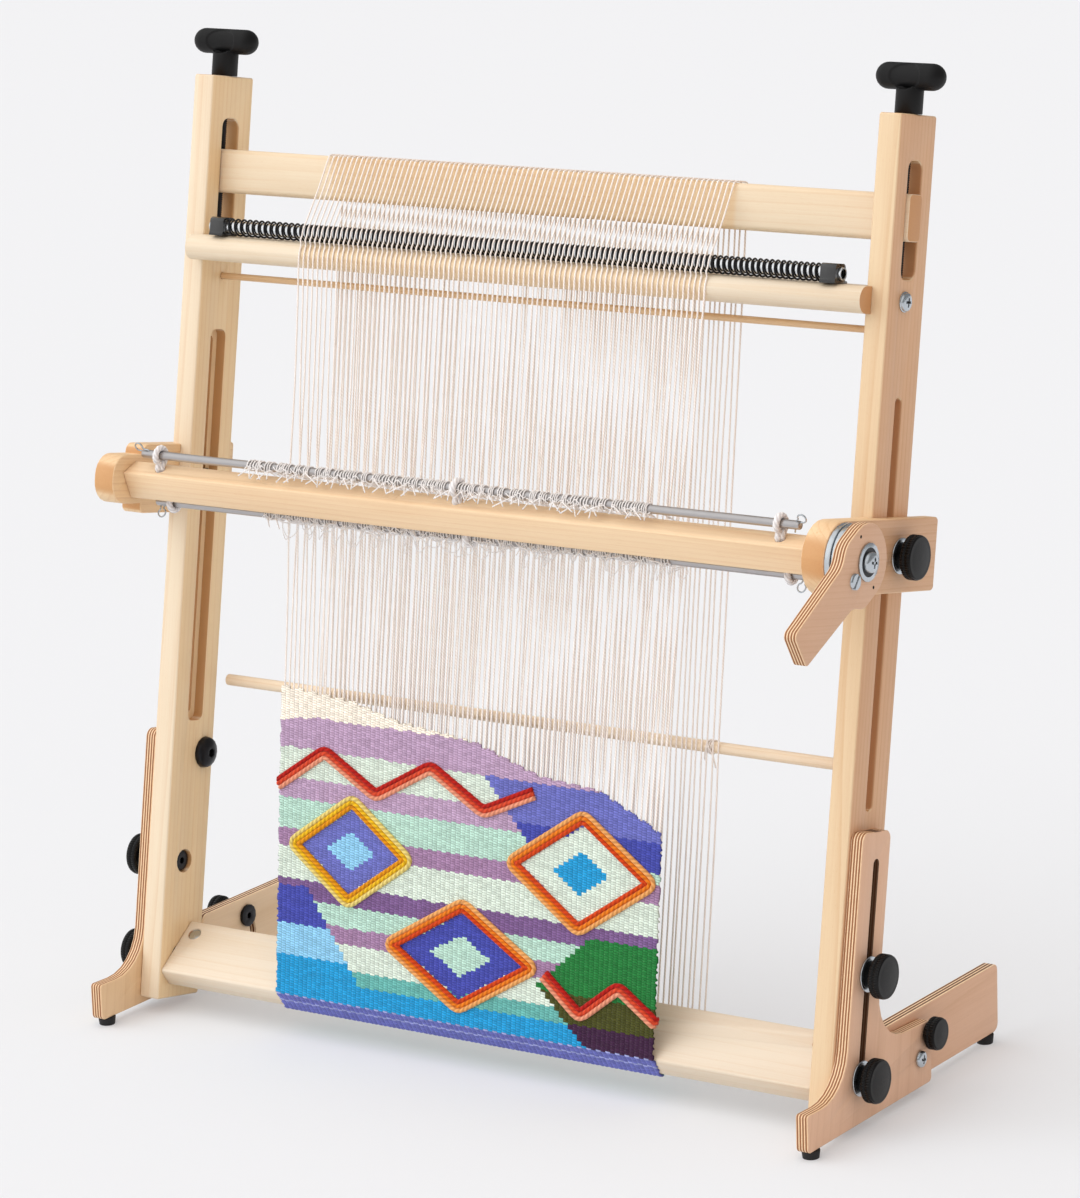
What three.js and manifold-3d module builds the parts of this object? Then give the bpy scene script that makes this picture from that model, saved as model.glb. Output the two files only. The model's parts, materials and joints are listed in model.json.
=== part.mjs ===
// Upright tapestry loom: a leaning maple frame on plywood legs that let it rise and fall, a top
// beam that two threaded rods lift to stretch the warp, a coiled spring that spaces the warp, and
// a heddle bar between two arms that a lever turns on notched discs to open the shed.
//
// Millimetres, +Z up. The leaning pieces are drawn in the frame's own axes: x across the loom,
// y the depth behind the posts' front faces, and z the distance up the posts.
import * as THREE from 'three';
import { mergeVertices } from 'three/addons/utils/BufferGeometryUtils.js';
import Module from 'manifold-3d';

const wasm = await Module();
wasm.setup();

// Stock and clearances
const BOARD = 22.2;
const PLY = 12.7;
const FIT = 0.3;
const SLIP = 0.6;
const EASE = 1.2;

// Frame
const LOOM_WIDTH = 762;
const LEAN = THREE.MathUtils.degToRad(10.2);
const POST_DEPTH = 63.5;
const POST_LENGTH = 882;
const POST_FOOT_HEIGHT = 15.9;
const HALF_OUT = LOOM_WIDTH / 2;
const HALF_IN = HALF_OUT - BOARD;
const POST_MIDDLE = POST_DEPTH / 2;

// Top beam and its slot through each post
const TOP_BEAM_HEIGHT = 41.3;
const TOP_BEAM_ROUND = 5;
const TOP_BEAM_PROUD = 3;
const TOP_BEAM_SETTING = 33;
const TOP_SLOT_MARGIN = 40;
const TOP_SLOT_LENGTH = 103;
const TOP_SLOT_CLEARANCE = 0.9;
const TOP_SLOT_CORNER = 8;

// Threaded tension rods and their T-handles
const ROD_DIAMETER = 11;
const ROD_SOCKET_DEPTH = 14;
const HANDLE_HEIGHT = 44.5;
const HANDLE_LENGTH = 68;
const HANDLE_DIAMETER = 23.7;
const HANDLE_STEM_DIAMETER = 24.5;
const HANDLE_TURN = { left: THREE.MathUtils.degToRad(4), right: THREE.MathUtils.degToRad(-3) };

// Slots along each post for the heddle arms
const ARM_SLOT_BOTTOM = 273.6;
const ARM_SLOT_MARGIN = 56.8;
const ARM_SLOT_WIDTH = 10.6;
const ARM_HEAD_SLOT_WIDTH = 23;
const ARM_HEAD_SLOT_DEPTH = 10;

// Bolts, their heads in counterbores, and knobs
const BOLT_DIAMETER = 7.9;
const BOLT_HEAD_DIAMETER = 19;
const BOLT_HEAD_HEIGHT = 7;
const COUNTERBORE_DIAMETER = 23;
const KNOB_DIAMETER = 40;
const KNOB_HUB_DIAMETER = 24;
const KNOB_HUB_LENGTH = 7;
const KNOB_HEAD_LENGTH = 12;
const KNOB_FLUTES = 14;
const WASHER_DIAMETER = 32;
const WASHER_THICKNESS = 1.8;
const REAR_KNOB_DIAMETER = 30;

// Spacer beam with a half-round nose, and the dowel below it
const SPACER_HEIGHT = 24;
const SPACER_MARGIN = 7;
const SPACER_NOSE = 21;
const SPACER_BACK = 42.5;
const SPACER_HALF_LENGTH = 364.5;
const DOWEL_DIAMETER = 6.35;
const DOWEL_MARGIN = 14.5;
const DOWEL_DEPTH = 33;

// Warp spacing spring on its tube
const SPRING_OUTER_DIAMETER = 17;
const SPRING_WIRE = 2;
const SPRING_COIL_COUNT = 86;
const SPRING_STEPS = 8;
const SPRING_SIDES = 5;
const SPRING_SETBACK = 10.5;
const TUBE_DIAMETER = 12;
const TUBE_WALL = 1.6;
const CLIP_WIDTH = 15.5;
const CLIP_INNER = 322.5;
const CLIP_WALL = 2.4;
const TUBE_OVERHANG = 3;

// Bottom beam, set at 45 degrees
const BOTTOM_BEAM_DEPTH = 63.5;
const BOTTOM_BEAM_HEIGHT = 42.6;
const BOTTOM_BEAM_ROUND = 3;
const BARREL_DIAMETER = 12.7;
const BARREL_LENGTH = 14;
const BARREL_OFFSET = 16.4;
const BARREL_INSET = 12.5;
const BEAM_BOLT_DIAMETER = 6.35;
const BEAM_BOLT_HEAD_DIAMETER = 13;

// Dome bolts on the posts' inner faces
const DOME_DIAMETER = 30.6;
const DOME_HEIGHT = 9;
const DOME_UP = 236;
const DOME_DEPTH = 50;

// Plywood legs
const LEG_BOLT_DEPTH = 28.5;
const LEG_BOLTS_UP = [39.3, 132];
const LEG_SLOT_WIDTH = 10;
const LEG_TRAVEL = 97;
const LEG_ARM_TOP = 258;
const LEG_ARM_FRONT = 2.6;
const LEG_ARM_BACK = 51.7;
const LEG_FOOT_FRONT = -57;
const LEG_FOOT_HEIGHT = 43;
const LEG_REAR = 163;
const LEG_REAR_HEIGHT = 66;
const LEG_CLEARANCE = 8;

// Rear legs
const REAR_LEG_FRONT = 88;
const REAR_LEG_REAR = 314;
const REAR_LEG_BOTTOM = 9;
const REAR_LEG_TOP = 74;
const PIVOT = { y: 141.2, z: 35.4 };
const PIVOT_DIAMETER = 6;
const REAR_KNOB = { y: 158, z: 55.5 };
const FOOT_DIAMETER = 17;
const FOOT_INSET = 6;

// Heddle arms
const ARM_HEIGHT = 65;
const ARM_MIDDLE = 500;
const ARM_REAR = 97;
const ARM_INNER = 371.1;
const SHED_PIVOT_DEPTH = -70;
const LEFT_ARM_SHOULDER = 13;
const LEFT_TONGUE_HEIGHT = 46;
const LEFT_TONGUE_LENGTH = 31;

// Heddle bar, its rods and their ties
const BAR_HEIGHT = 27.7;
const BAR_TURN = THREE.MathUtils.degToRad(30.2);
const HEDDLE_ROD_DIAMETER = 7.9;
const HEDDLE_ROD_LENGTH = 710;
const HEDDLE_ROD_RISE = 26;
const HEDDLE_ROD_SETBACK = 6;
const TIE_WIDTH = 9;
const TIE_THICKNESS = 2;
const TIE_PLACES = [-335, -70, 335];

// Shed lever
const SHAFT_DIAMETER = 9.5;
const DISC_DIAMETER = 63.5;
const DISC_THICKNESS = 5.2;
const DISC_GAP = 1.4;
const LEVER_HEAD_DIAMETER = 67;
const LEVER_REACH = 128;
const LEVER_WIDTH = 38;
const LEVER_DROOP = THREE.MathUtils.degToRad(4.9);
const LEVER_WASHER_DIAMETER = 34;

// Warp, cloth and heddles
const WARP_THICKNESS = 1.4;
const CLOTH_THICKNESS = 2.6;
const WARP_LEFT = -236;
const WARP_RIGHT = 209;
const WARP_OPENINGS = 12;
const WARP_GROUP_WIDTH = 8.5;
const WARP_BAND = 8;
const CLOTH_LEFT = -229;
const CLOTH_RIGHT = 192;
const CLOTH_HEIGHT = 312;
const CLOTH_FALL = 86;
const UPPER_HEDDLE_DROP = 14;
const LOWER_HEDDLE_DROP = 6;
const WARP_BAR_DIAMETER = 11;
const WARP_BAR_HEIGHT = 307;
const WARP_BAR_LEFT = -345;
const WARP_BAR_RIGHT = 327;

// Colours
const MAPLE = { color: 0xe8c99b, roughness: 0.55, metalness: 0 };
const PLYWOOD = { color: 0xc9a27c, roughness: 0.6, metalness: 0 };
const STEEL = { color: 0xb9bcbf, roughness: 0.3, metalness: 1 };
const BLACK_STEEL = { color: 0x1c1c1e, roughness: 0.45, metalness: 0.6 };
const BLACK_PLASTIC = { color: 0x19191b, roughness: 0.6, metalness: 0 };
const RUBBER = { color: 0x222224, roughness: 0.85, metalness: 0 };
const WARP = { color: 0xe9e2d8, roughness: 0.95, metalness: 0 };
const CLOTH = { color: 0x7f86c6, roughness: 0.95, metalness: 0 };

// A solid for joining and cutting, from any closed geometry
function solidOf(geometry) {
  const plain = geometry.clone();
  plain.deleteAttribute('normal');
  plain.deleteAttribute('uv');
  const merged = mergeVertices(plain, 1e-4);
  const index = merged.index.array;
  const triVerts = [];
  for (let i = 0; i < index.length; i += 3) {
    const [a, b, c] = [index[i], index[i + 1], index[i + 2]];
    if (a !== b && b !== c && c !== a) triVerts.push(a, b, c);
  }
  const mesh = new wasm.Mesh({
    numProp: 3,
    vertProperties: new Float32Array(merged.attributes.position.array),
    triVerts: new Uint32Array(triVerts),
  });
  return new wasm.Manifold(mesh);
}

function geometryOf(solid) {
  const { vertProperties, triVerts } = solid.getMesh();
  const geometry = new THREE.BufferGeometry();
  geometry.setAttribute('position', new THREE.BufferAttribute(vertProperties, 3));
  geometry.setIndex(new THREE.BufferAttribute(triVerts, 1));
  geometry.computeVertexNormals();
  return geometry;
}

function cut(body, ...tools) {
  return geometryOf(tools.reduce((solid, tool) => solid.subtract(solidOf(tool)), solidOf(body)));
}

function join(body, ...others) {
  return geometryOf(others.reduce((solid, other) => solid.add(solidOf(other)), solidOf(body)));
}

// The other hand of a piece, with its faces still pointing out
function mirrored(geometry) {
  const copy = geometry.clone().applyMatrix4(new THREE.Matrix4().makeScale(-1, 1, 1));
  if (!copy.index) {
    const count = copy.attributes.position.count;
    copy.setIndex([...Array(count).keys()]);
  }
  const index = copy.index.array;
  for (let i = 0; i < index.length; i += 3) {
    [index[i + 1], index[i + 2]] = [index[i + 2], index[i + 1]];
  }
  copy.computeVertexNormals();
  return copy;
}

// A closed outline through corners [x, y, radius], each rounded by an arc
function rounded(corners, ShapeType = THREE.Shape) {
  const shape = new ShapeType();
  const count = corners.length;
  corners.forEach(([x, y, radius = 0], i) => {
    const corner = new THREE.Vector2(x, y);
    const before = new THREE.Vector2(...corners[(i + count - 1) % count].slice(0, 2));
    const after = new THREE.Vector2(...corners[(i + 1) % count].slice(0, 2));
    const arriving = corner.clone().sub(before).normalize();
    const leaving = after.clone().sub(corner).normalize();
    const turn = Math.atan2(arriving.cross(leaving), arriving.dot(leaving));
    const move = i === 0 ? 'moveTo' : 'lineTo';
    if (!radius || Math.abs(turn) < 1e-3) {
      shape[move](x, y);
      return;
    }
    const reach = radius * Math.tan(Math.abs(turn) / 2);
    const start = corner.clone().addScaledVector(arriving, -reach);
    const side = Math.sign(turn);
    const centre = start.clone().add(new THREE.Vector2(-arriving.y, arriving.x).multiplyScalar(radius * side));
    const from = Math.atan2(start.y - centre.y, start.x - centre.x);
    shape[move](start.x, start.y);
    shape.absarc(centre.x, centre.y, radius, from, from + turn, side < 0);
  });
  shape.closePath();
  return shape;
}

function circle(radius, x = 0, y = 0, ShapeType = THREE.Path) {
  return new ShapeType().absarc(x, y, radius, 0, 2 * Math.PI, false);
}

function slot(width, yFrom, yTo, x, radius = width / 2) {
  const half = width / 2;
  const corners = [[x - half, yFrom], [x + half, yFrom], [x + half, yTo], [x - half, yTo]];
  return corners.map(([cx, cy]) => [cx, cy, radius - 1e-3]);
}

// An outline drawn in (y, z) and run along x from x0 to x1, with its edges eased
function alongX(shape, x0, x1, { ease = 0, curveSegments = 2 } = {}) {
  const geometry = new THREE.ExtrudeGeometry(shape, {
    depth: x1 - x0 - 2 * ease,
    bevelEnabled: ease > 0,
    bevelThickness: ease,
    bevelSize: ease,
    bevelOffset: -ease,
    bevelSegments: 1,
    curveSegments,
  });
  const turn = new THREE.Matrix4().makeBasis(
    new THREE.Vector3(0, 1, 0),
    new THREE.Vector3(0, 0, 1),
    new THREE.Vector3(1, 0, 0),
  );
  return geometry.applyMatrix4(turn).translate(x0 + ease, 0, 0);
}

function box(x0, x1, y0, y1, z0, z1) {
  const geometry = new THREE.BoxGeometry(x1 - x0, y1 - y0, z1 - z0);
  return geometry.translate((x0 + x1) / 2, (y0 + y1) / 2, (z0 + z1) / 2);
}

// A solid of revolution about the x axis, from [radius, x] points in order of x
function turnedX(profile, segments = 24) {
  const points = profile.map(([radius, x]) => new THREE.Vector2(radius, x));
  return new THREE.LatheGeometry(points, segments).rotateZ(-Math.PI / 2);
}

function rodX(diameter, x0, x1, y, z, segments = 24) {
  const radius = diameter / 2;
  return turnedX([[0, x0], [radius, x0], [radius, x1], [0, x1]], segments).translate(0, y, z);
}

function rodZ(diameter, z0, z1, x, y, segments = 24) {
  const geometry = new THREE.CylinderGeometry(diameter / 2, diameter / 2, z1 - z0, segments);
  return geometry.rotateX(Math.PI / 2).translate(x, y, (z0 + z1) / 2);
}

const loom = new THREE.Group();
const frame = new THREE.Group();
frame.position.z = POST_FOOT_HEIGHT;
frame.rotation.x = -LEAN;
loom.add(frame);

function add(group, name, geometry, look) {
  const mesh = new THREE.Mesh(geometry, new THREE.MeshStandardMaterial(look));
  mesh.name = name;
  group.add(mesh);
  return mesh;
}

// Adds a right-hand piece and its mirror image
function addPair(group, name, geometry, look) {
  add(group, `${name}_right`, geometry, look);
  add(group, `${name}_left`, mirrored(geometry), look);
}

// Places in the frame, worked out once
const TOP_SLOT_TOP = POST_LENGTH - TOP_SLOT_MARGIN;
const TOP_SLOT_BOTTOM = TOP_SLOT_TOP - TOP_SLOT_LENGTH;
const TOP_BEAM_BOTTOM = TOP_SLOT_BOTTOM + TOP_BEAM_SETTING;
const SPACER_TOP = TOP_SLOT_BOTTOM - SPACER_MARGIN;
const SPACER_BOTTOM = SPACER_TOP - SPACER_HEIGHT;
const DOWEL_HEIGHT = SPACER_BOTTOM - DOWEL_MARGIN;
const ARM_SLOT_TOP = DOWEL_HEIGHT - ARM_SLOT_MARGIN;
const TOP_BEAM_FRONT = POST_MIDDLE - BOARD / 2;
const TOP_BEAM_BACK = POST_MIDDLE + BOARD / 2;
const TOP_BEAM_TOP = TOP_BEAM_BOTTOM + TOP_BEAM_HEIGHT;
const ROD_X = HALF_OUT - BOARD / 2;
const SPACER_MIDDLE = SPACER_BOTTOM + SPACER_HEIGHT / 2;
const SPRING_MIDDLE = SPACER_TOP + FIT + SPRING_OUTER_DIAMETER / 2;
const BOTTOM_BEAM_HALF = BOTTOM_BEAM_DEPTH / 2;
const LEG_INNER = HALF_OUT + FIT;
const LEG_OUTER = LEG_INNER + PLY;
const REAR_LEG_OUTER = LEG_INNER - FIT;
const REAR_LEG_INNER = REAR_LEG_OUTER - PLY;
const ARM_OUTER = ARM_INNER + BOARD;
const DISC_INNER = ARM_OUTER + FIT;
const MOVING_DISC_INNER = DISC_INNER + DISC_THICKNESS + DISC_GAP;
const LEVER_INNER = MOVING_DISC_INNER + DISC_THICKNESS + FIT;
const LEVER_OUTER = LEVER_INNER + PLY;
const BEAM_DIAGONAL = Math.SQRT1_2;
const BARREL = {
  y: POST_MIDDLE + BARREL_OFFSET * BEAM_DIAGONAL,
  z: BOTTOM_BEAM_HEIGHT + BARREL_OFFSET * BEAM_DIAGONAL,
};

// Posts
function postGeometry() {
  const outline = rounded([[0, 0, 2], [POST_DEPTH, 0, 2], [POST_DEPTH, POST_LENGTH, 2], [0, POST_LENGTH, 2]]);
  const topSlotWidth = BOARD + 2 * TOP_SLOT_CLEARANCE;
  outline.holes.push(rounded(slot(topSlotWidth, TOP_SLOT_BOTTOM, TOP_SLOT_TOP, POST_MIDDLE, TOP_SLOT_CORNER), THREE.Path));
  outline.holes.push(rounded(slot(ARM_SLOT_WIDTH, ARM_SLOT_BOTTOM, ARM_SLOT_TOP, POST_MIDDLE), THREE.Path));
  const board = alongX(outline, HALF_IN, HALF_OUT, { ease: EASE });
  const headSlot = alongX(
    rounded(slot(ARM_HEAD_SLOT_WIDTH, ARM_SLOT_BOTTOM - 6, ARM_SLOT_TOP + 6, POST_MIDDLE, 7)),
    HALF_IN - 1,
    HALF_IN + ARM_HEAD_SLOT_DEPTH,
  );
  const tools = [headSlot];
  for (const up of LEG_BOLTS_UP) {
    tools.push(rodX(COUNTERBORE_DIAMETER, HALF_IN - 1, HALF_IN + ARM_HEAD_SLOT_DEPTH, LEG_BOLT_DEPTH, up, 16));
    tools.push(rodX(BOLT_DIAMETER + SLIP, HALF_IN - 1, HALF_OUT + 1, LEG_BOLT_DEPTH, up, 12));
  }
  tools.push(rodX(BOLT_DIAMETER + SLIP, HALF_IN - 1, HALF_IN + 15, DOME_DEPTH, DOME_UP, 12));
  tools.push(rodX(BEAM_BOLT_DIAMETER + SLIP, HALF_IN - 1, HALF_OUT + 1, BARREL.y, BARREL.z, 12));
  const sinkRadius = BEAM_BOLT_HEAD_DIAMETER / 2 + SLIP;
  const sink = [[0, HALF_OUT - 4.5], [sinkRadius - 2.5, HALF_OUT - 4.5], [sinkRadius, HALF_OUT - 1], [sinkRadius, HALF_OUT + 1], [0, HALF_OUT + 1]];
  tools.push(turnedX(sink, 12).translate(0, BARREL.y, BARREL.z));
  tools.push(rodX(DOWEL_DIAMETER + 2 * FIT, HALF_IN - 1, HALF_IN + 8, DOWEL_DEPTH, DOWEL_HEIGHT, 10));
  tools.push(rodZ(ROD_DIAMETER + SLIP, TOP_SLOT_BOTTOM - ROD_SOCKET_DEPTH, POST_LENGTH + 1, ROD_X, POST_MIDDLE, 12));
  return cut(board, ...tools);
}
addPair(frame, 'post', postGeometry(), MAPLE);

// Top beam, tenoned through the posts and bored for the tension rods
const topBeamOutline = rounded([
  [TOP_BEAM_FRONT, TOP_BEAM_BOTTOM, TOP_BEAM_ROUND],
  [TOP_BEAM_BACK, TOP_BEAM_BOTTOM, TOP_BEAM_ROUND],
  [TOP_BEAM_BACK, TOP_BEAM_TOP, TOP_BEAM_ROUND],
  [TOP_BEAM_FRONT, TOP_BEAM_TOP, TOP_BEAM_ROUND],
]);
const topBeamEnd = HALF_OUT + TOP_BEAM_PROUD;
const topBeamBores = [-ROD_X, ROD_X].map((x) => (
  rodZ(ROD_DIAMETER + SLIP, TOP_BEAM_BOTTOM - 1, TOP_BEAM_TOP + 1, x, POST_MIDDLE, 12)
));
add(frame, 'top_beam', cut(alongX(topBeamOutline, -topBeamEnd, topBeamEnd, { ease: 0.8, curveSegments: 2 }), ...topBeamBores), MAPLE);

// Tension rods and T-handles
for (const [side, x] of [['left', -ROD_X], ['right', ROD_X]]) {
  const tension = new THREE.Group();
  tension.position.set(x, POST_MIDDLE, POST_LENGTH);
  tension.rotation.z = HANDLE_TURN[side];
  frame.add(tension);
  const rodBottom = TOP_SLOT_BOTTOM - ROD_SOCKET_DEPTH + 1 - POST_LENGTH;
  const barMiddle = HANDLE_HEIGHT - HANDLE_DIAMETER / 2;
  const bore = rodZ(ROD_DIAMETER + SLIP, 0, barMiddle, 0, 0, 12);
  const stem = rodZ(HANDLE_STEM_DIAMETER, FIT, barMiddle, 0, 0, 18);
  const grip = new THREE.CapsuleGeometry(HANDLE_DIAMETER / 2, HANDLE_LENGTH - HANDLE_DIAMETER, 3, 14);
  grip.rotateZ(Math.PI / 2).translate(0, 0, barMiddle);
  add(tension, `tension_rod_${side}`, rodZ(ROD_DIAMETER, rodBottom, barMiddle - FIT, 0, 0, 12), BLACK_STEEL);
  add(tension, `tension_handle_${side}`, cut(join(grip, stem), bore), BLACK_PLASTIC);
}

// Spacer beam: a half-round nose in front of the posts, notched to run back between them
const spacerRound = SPACER_HEIGHT / 2 - 0.1;
const spacerOutline = rounded([
  [-SPACER_NOSE, SPACER_BOTTOM, spacerRound],
  [SPACER_BACK, SPACER_BOTTOM, 1.5],
  [SPACER_BACK, SPACER_TOP, 1.5],
  [-SPACER_NOSE, SPACER_TOP, spacerRound],
]);
const spacerEnds = [-1, 1].map((side) => {
  const near = HALF_IN - FIT;
  const far = SPACER_HALF_LENGTH + 1;
  const [x0, x1] = side > 0 ? [near, far] : [-far, -near];
  return box(x0, x1, -FIT, SPACER_BACK + 1, SPACER_BOTTOM - 1, SPACER_TOP + 1);
});
const spacerBlank = alongX(spacerOutline, -SPACER_HALF_LENGTH, SPACER_HALF_LENGTH, { curveSegments: 3 });
add(frame, 'spacer_beam', cut(spacerBlank, ...spacerEnds), MAPLE);

const dowelEnd = HALF_IN + 7;
add(frame, 'upper_dowel', rodX(DOWEL_DIAMETER, -dowelEnd, dowelEnd, DOWEL_DEPTH, DOWEL_HEIGHT, 12), MAPLE);

// Warp spacing spring: one wire wound in open curls round a tube that two clips hold down
function springGeometry(length) {
  const radius = (SPRING_OUTER_DIAMETER - SPRING_WIRE) / 2;
  const pitch = length / SPRING_COIL_COUNT;
  const steps = SPRING_COIL_COUNT * SPRING_STEPS;
  const positions = [];
  const index = [];
  for (let i = 0; i <= steps; i += 1) {
    const angle = (2 * Math.PI * i) / SPRING_STEPS;
    const along = -length / 2 + (pitch * i) / SPRING_STEPS;
    const out = new THREE.Vector3(0, Math.cos(angle), Math.sin(angle));
    const centre = out.clone().multiplyScalar(radius).setX(along);
    const tangent = new THREE.Vector3(pitch / (2 * Math.PI * radius), -Math.sin(angle), Math.cos(angle)).normalize();
    const across = new THREE.Vector3().crossVectors(tangent, out);
    for (let j = 0; j < SPRING_SIDES; j += 1) {
      const turn = (2 * Math.PI * j) / SPRING_SIDES;
      const point = centre.clone();
      point.addScaledVector(out, (Math.cos(turn) * SPRING_WIRE) / 2);
      point.addScaledVector(across, (Math.sin(turn) * SPRING_WIRE) / 2);
      positions.push(point.x, point.y, point.z);
    }
  }
  for (let i = 0; i < steps; i += 1) {
    for (let j = 0; j < SPRING_SIDES; j += 1) {
      const [a, b] = [i * SPRING_SIDES + j, i * SPRING_SIDES + ((j + 1) % SPRING_SIDES)];
      const [c, d] = [a + SPRING_SIDES, b + SPRING_SIDES];
      index.push(a, b, d, a, d, c);
    }
  }
  const last = steps * SPRING_SIDES;
  for (let j = 1; j < SPRING_SIDES - 1; j += 1) {
    index.push(0, j + 1, j);
    index.push(last, last + j, last + j + 1);
  }
  const geometry = new THREE.BufferGeometry();
  geometry.setAttribute('position', new THREE.Float32BufferAttribute(positions, 3));
  geometry.setIndex(index);
  geometry.computeVertexNormals();
  return geometry;
}

// Least distance between wire surfaces one curl apart, measured on centre points
function leastCoilGap(length) {
  const radius = (SPRING_OUTER_DIAMETER - SPRING_WIRE) / 2;
  const pitch = length / SPRING_COIL_COUNT;
  let least = Infinity;
  for (let i = 0; i <= 360; i += 1) {
    const near = new THREE.Vector3(0, radius, 0);
    const turn = Math.PI + (i * 2 * Math.PI) / 360;
    const far = new THREE.Vector3((pitch * turn) / (2 * Math.PI), radius * Math.cos(turn), radius * Math.sin(turn));
    least = Math.min(least, near.distanceTo(far) - SPRING_WIRE);
  }
  return least;
}
const springLength = 2 * (CLIP_INNER - FIT - SPRING_WIRE);
console.log(`spring: least gap between curls ${leastCoilGap(springLength).toFixed(2)} mm`);
const spring = add(frame, 'spacing_spring', springGeometry(springLength), BLACK_STEEL);
spring.position.set(0, -SPRING_SETBACK, SPRING_MIDDLE);

const tubeEnd = CLIP_INNER + CLIP_WIDTH + TUBE_OVERHANG;
const tubeSection = circle(TUBE_DIAMETER / 2, 0, 0, THREE.Shape);
tubeSection.holes.push(circle(TUBE_DIAMETER / 2 - TUBE_WALL));
const tube = add(frame, 'spring_tube', alongX(tubeSection, -tubeEnd, tubeEnd, { curveSegments: 8 }), STEEL);
tube.position.set(0, -SPRING_SETBACK, SPRING_MIDDLE);

const clipReach = TUBE_DIAMETER / 2 + FIT + CLIP_WALL;
const clipFoot = SPACER_TOP + FIT - SPRING_MIDDLE;
const clipOutline = rounded([
  [-clipReach - 1, clipFoot, 0],
  [clipReach + 4, clipFoot, 0],
  [clipReach + 4, clipFoot + 2, 0.6],
  [clipReach, clipFoot + 2.5, 0.8],
  [clipReach, clipReach, 4],
  [-clipReach, clipReach, 4],
  [-clipReach, clipFoot + 4, 1],
]);
const clipBlank = alongX(clipOutline, CLIP_INNER, CLIP_INNER + CLIP_WIDTH);
const clip = cut(clipBlank, rodX(TUBE_DIAMETER + 2 * FIT, CLIP_INNER - 1, CLIP_INNER + CLIP_WIDTH + 1, 0, 0, 16));
addPair(frame, 'spring_clip', clip.translate(0, -SPRING_SETBACK, SPRING_MIDDLE), BLACK_PLASTIC);

// Dome bolts on the inner faces
const domeRadius = DOME_DIAMETER / 2;
const domeProfile = [[0, HALF_IN + 14], [BOLT_DIAMETER / 2, HALF_IN + 14], [BOLT_DIAMETER / 2, HALF_IN - FIT], [domeRadius, HALF_IN - FIT]];
for (let i = 1; i <= 3; i += 1) {
  const angle = (i * Math.PI) / 8;
  domeProfile.push([domeRadius * Math.cos(angle), HALF_IN - FIT - 2 - (DOME_HEIGHT - 2) * Math.sin(angle)]);
}
domeProfile.push([0, HALF_IN - FIT - DOME_HEIGHT + 0.2]);
const dome = turnedX(domeProfile.reverse(), 16).translate(0, DOME_DEPTH, DOME_UP);
const socket = new THREE.CylinderGeometry(4.5, 4.5, 10, 6).rotateZ(Math.PI / 2);
socket.translate(HALF_IN - DOME_HEIGHT, DOME_DEPTH, DOME_UP);
addPair(frame, 'dome_bolt', cut(dome, socket), BLACK_STEEL);

// Bottom beam with its bolts and barrel nuts
const bottomBeamOutline = rounded([
  [-BOTTOM_BEAM_HALF, -BOARD / 2, BOTTOM_BEAM_ROUND],
  [BOTTOM_BEAM_HALF, -BOARD / 2, BOTTOM_BEAM_ROUND],
  [BOTTOM_BEAM_HALF, BOARD / 2, BOTTOM_BEAM_ROUND],
  [-BOTTOM_BEAM_HALF, BOARD / 2, BOTTOM_BEAM_ROUND],
]);
const barrelX = HALF_IN - BARREL_INSET;
const beamGroup = new THREE.Group();
beamGroup.position.set(0, POST_MIDDLE, BOTTOM_BEAM_HEIGHT);
beamGroup.rotation.x = Math.PI / 4;
frame.add(beamGroup);
const beamEnd = HALF_IN - FIT;
const barrelTop = BOARD / 2 - 1;
const beamTools = [-1, 1].flatMap((side) => {
  const [x0, x1] = side > 0 ? [barrelX, beamEnd + 1] : [-beamEnd - 1, -barrelX];
  return [
    rodZ(BARREL_DIAMETER + SLIP, barrelTop - BARREL_LENGTH - 1, BOARD, side * barrelX, BARREL_OFFSET, 16),
    rodX(BEAM_BOLT_DIAMETER + SLIP, x0, x1, BARREL_OFFSET, 0, 12),
  ];
});
const beamBlank = alongX(bottomBeamOutline, -beamEnd, beamEnd, { curveSegments: 1 });
add(beamGroup, 'bottom_beam', cut(beamBlank, ...beamTools), MAPLE);
const boltHeadRadius = BEAM_BOLT_HEAD_DIAMETER / 2;
const beamBolt = turnedX([
  [0, barrelX],
  [BEAM_BOLT_DIAMETER / 2, barrelX],
  [BEAM_BOLT_DIAMETER / 2, HALF_OUT - 4],
  [boltHeadRadius - 2, HALF_OUT - 4],
  [boltHeadRadius, HALF_OUT - 1],
  [0, HALF_OUT - 1],
], 12).translate(0, BARREL_OFFSET, 0);
const barrelNut = rodZ(BARREL_DIAMETER, barrelTop - BARREL_LENGTH, barrelTop, barrelX, BARREL_OFFSET, 16);
addPair(beamGroup, 'beam_bolt', join(barrelNut, beamBolt), STEEL);

// A fluted knob with its hub and washer, drawn from x = 0 outward, bored for its bolt
function knobGeometry(diameter, { washer, hub }) {
  const radius = diameter / 2;
  const rim = [];
  for (let i = 0; i < KNOB_FLUTES * 2; i += 1) {
    const angle = (i * Math.PI) / KNOB_FLUTES;
    const reach = i % 2 ? radius - 0.9 : radius;
    rim.push(new THREE.Vector2(reach * Math.cos(angle), reach * Math.sin(angle)));
  }
  const headStart = washer + hub;
  const head = alongX(new THREE.Shape(rim), headStart, headStart + KNOB_HEAD_LENGTH, { ease: 1.8 });
  const spine = [[0, 0]];
  if (washer) {
    spine.push([WASHER_DIAMETER / 2, 0], [WASHER_DIAMETER / 2, washer]);
  }
  const hubRadius = Math.min(KNOB_HUB_DIAMETER / 2, radius - 4);
  spine.push([hubRadius, washer], [hubRadius, headStart + 2], [0, headStart + 2]);
  const bore = rodX(BOLT_DIAMETER + SLIP, -1, headStart + KNOB_HEAD_LENGTH - 5, 0, 0, 10);
  return cut(join(head, turnedX(spine, 14)), bore);
}
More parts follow.
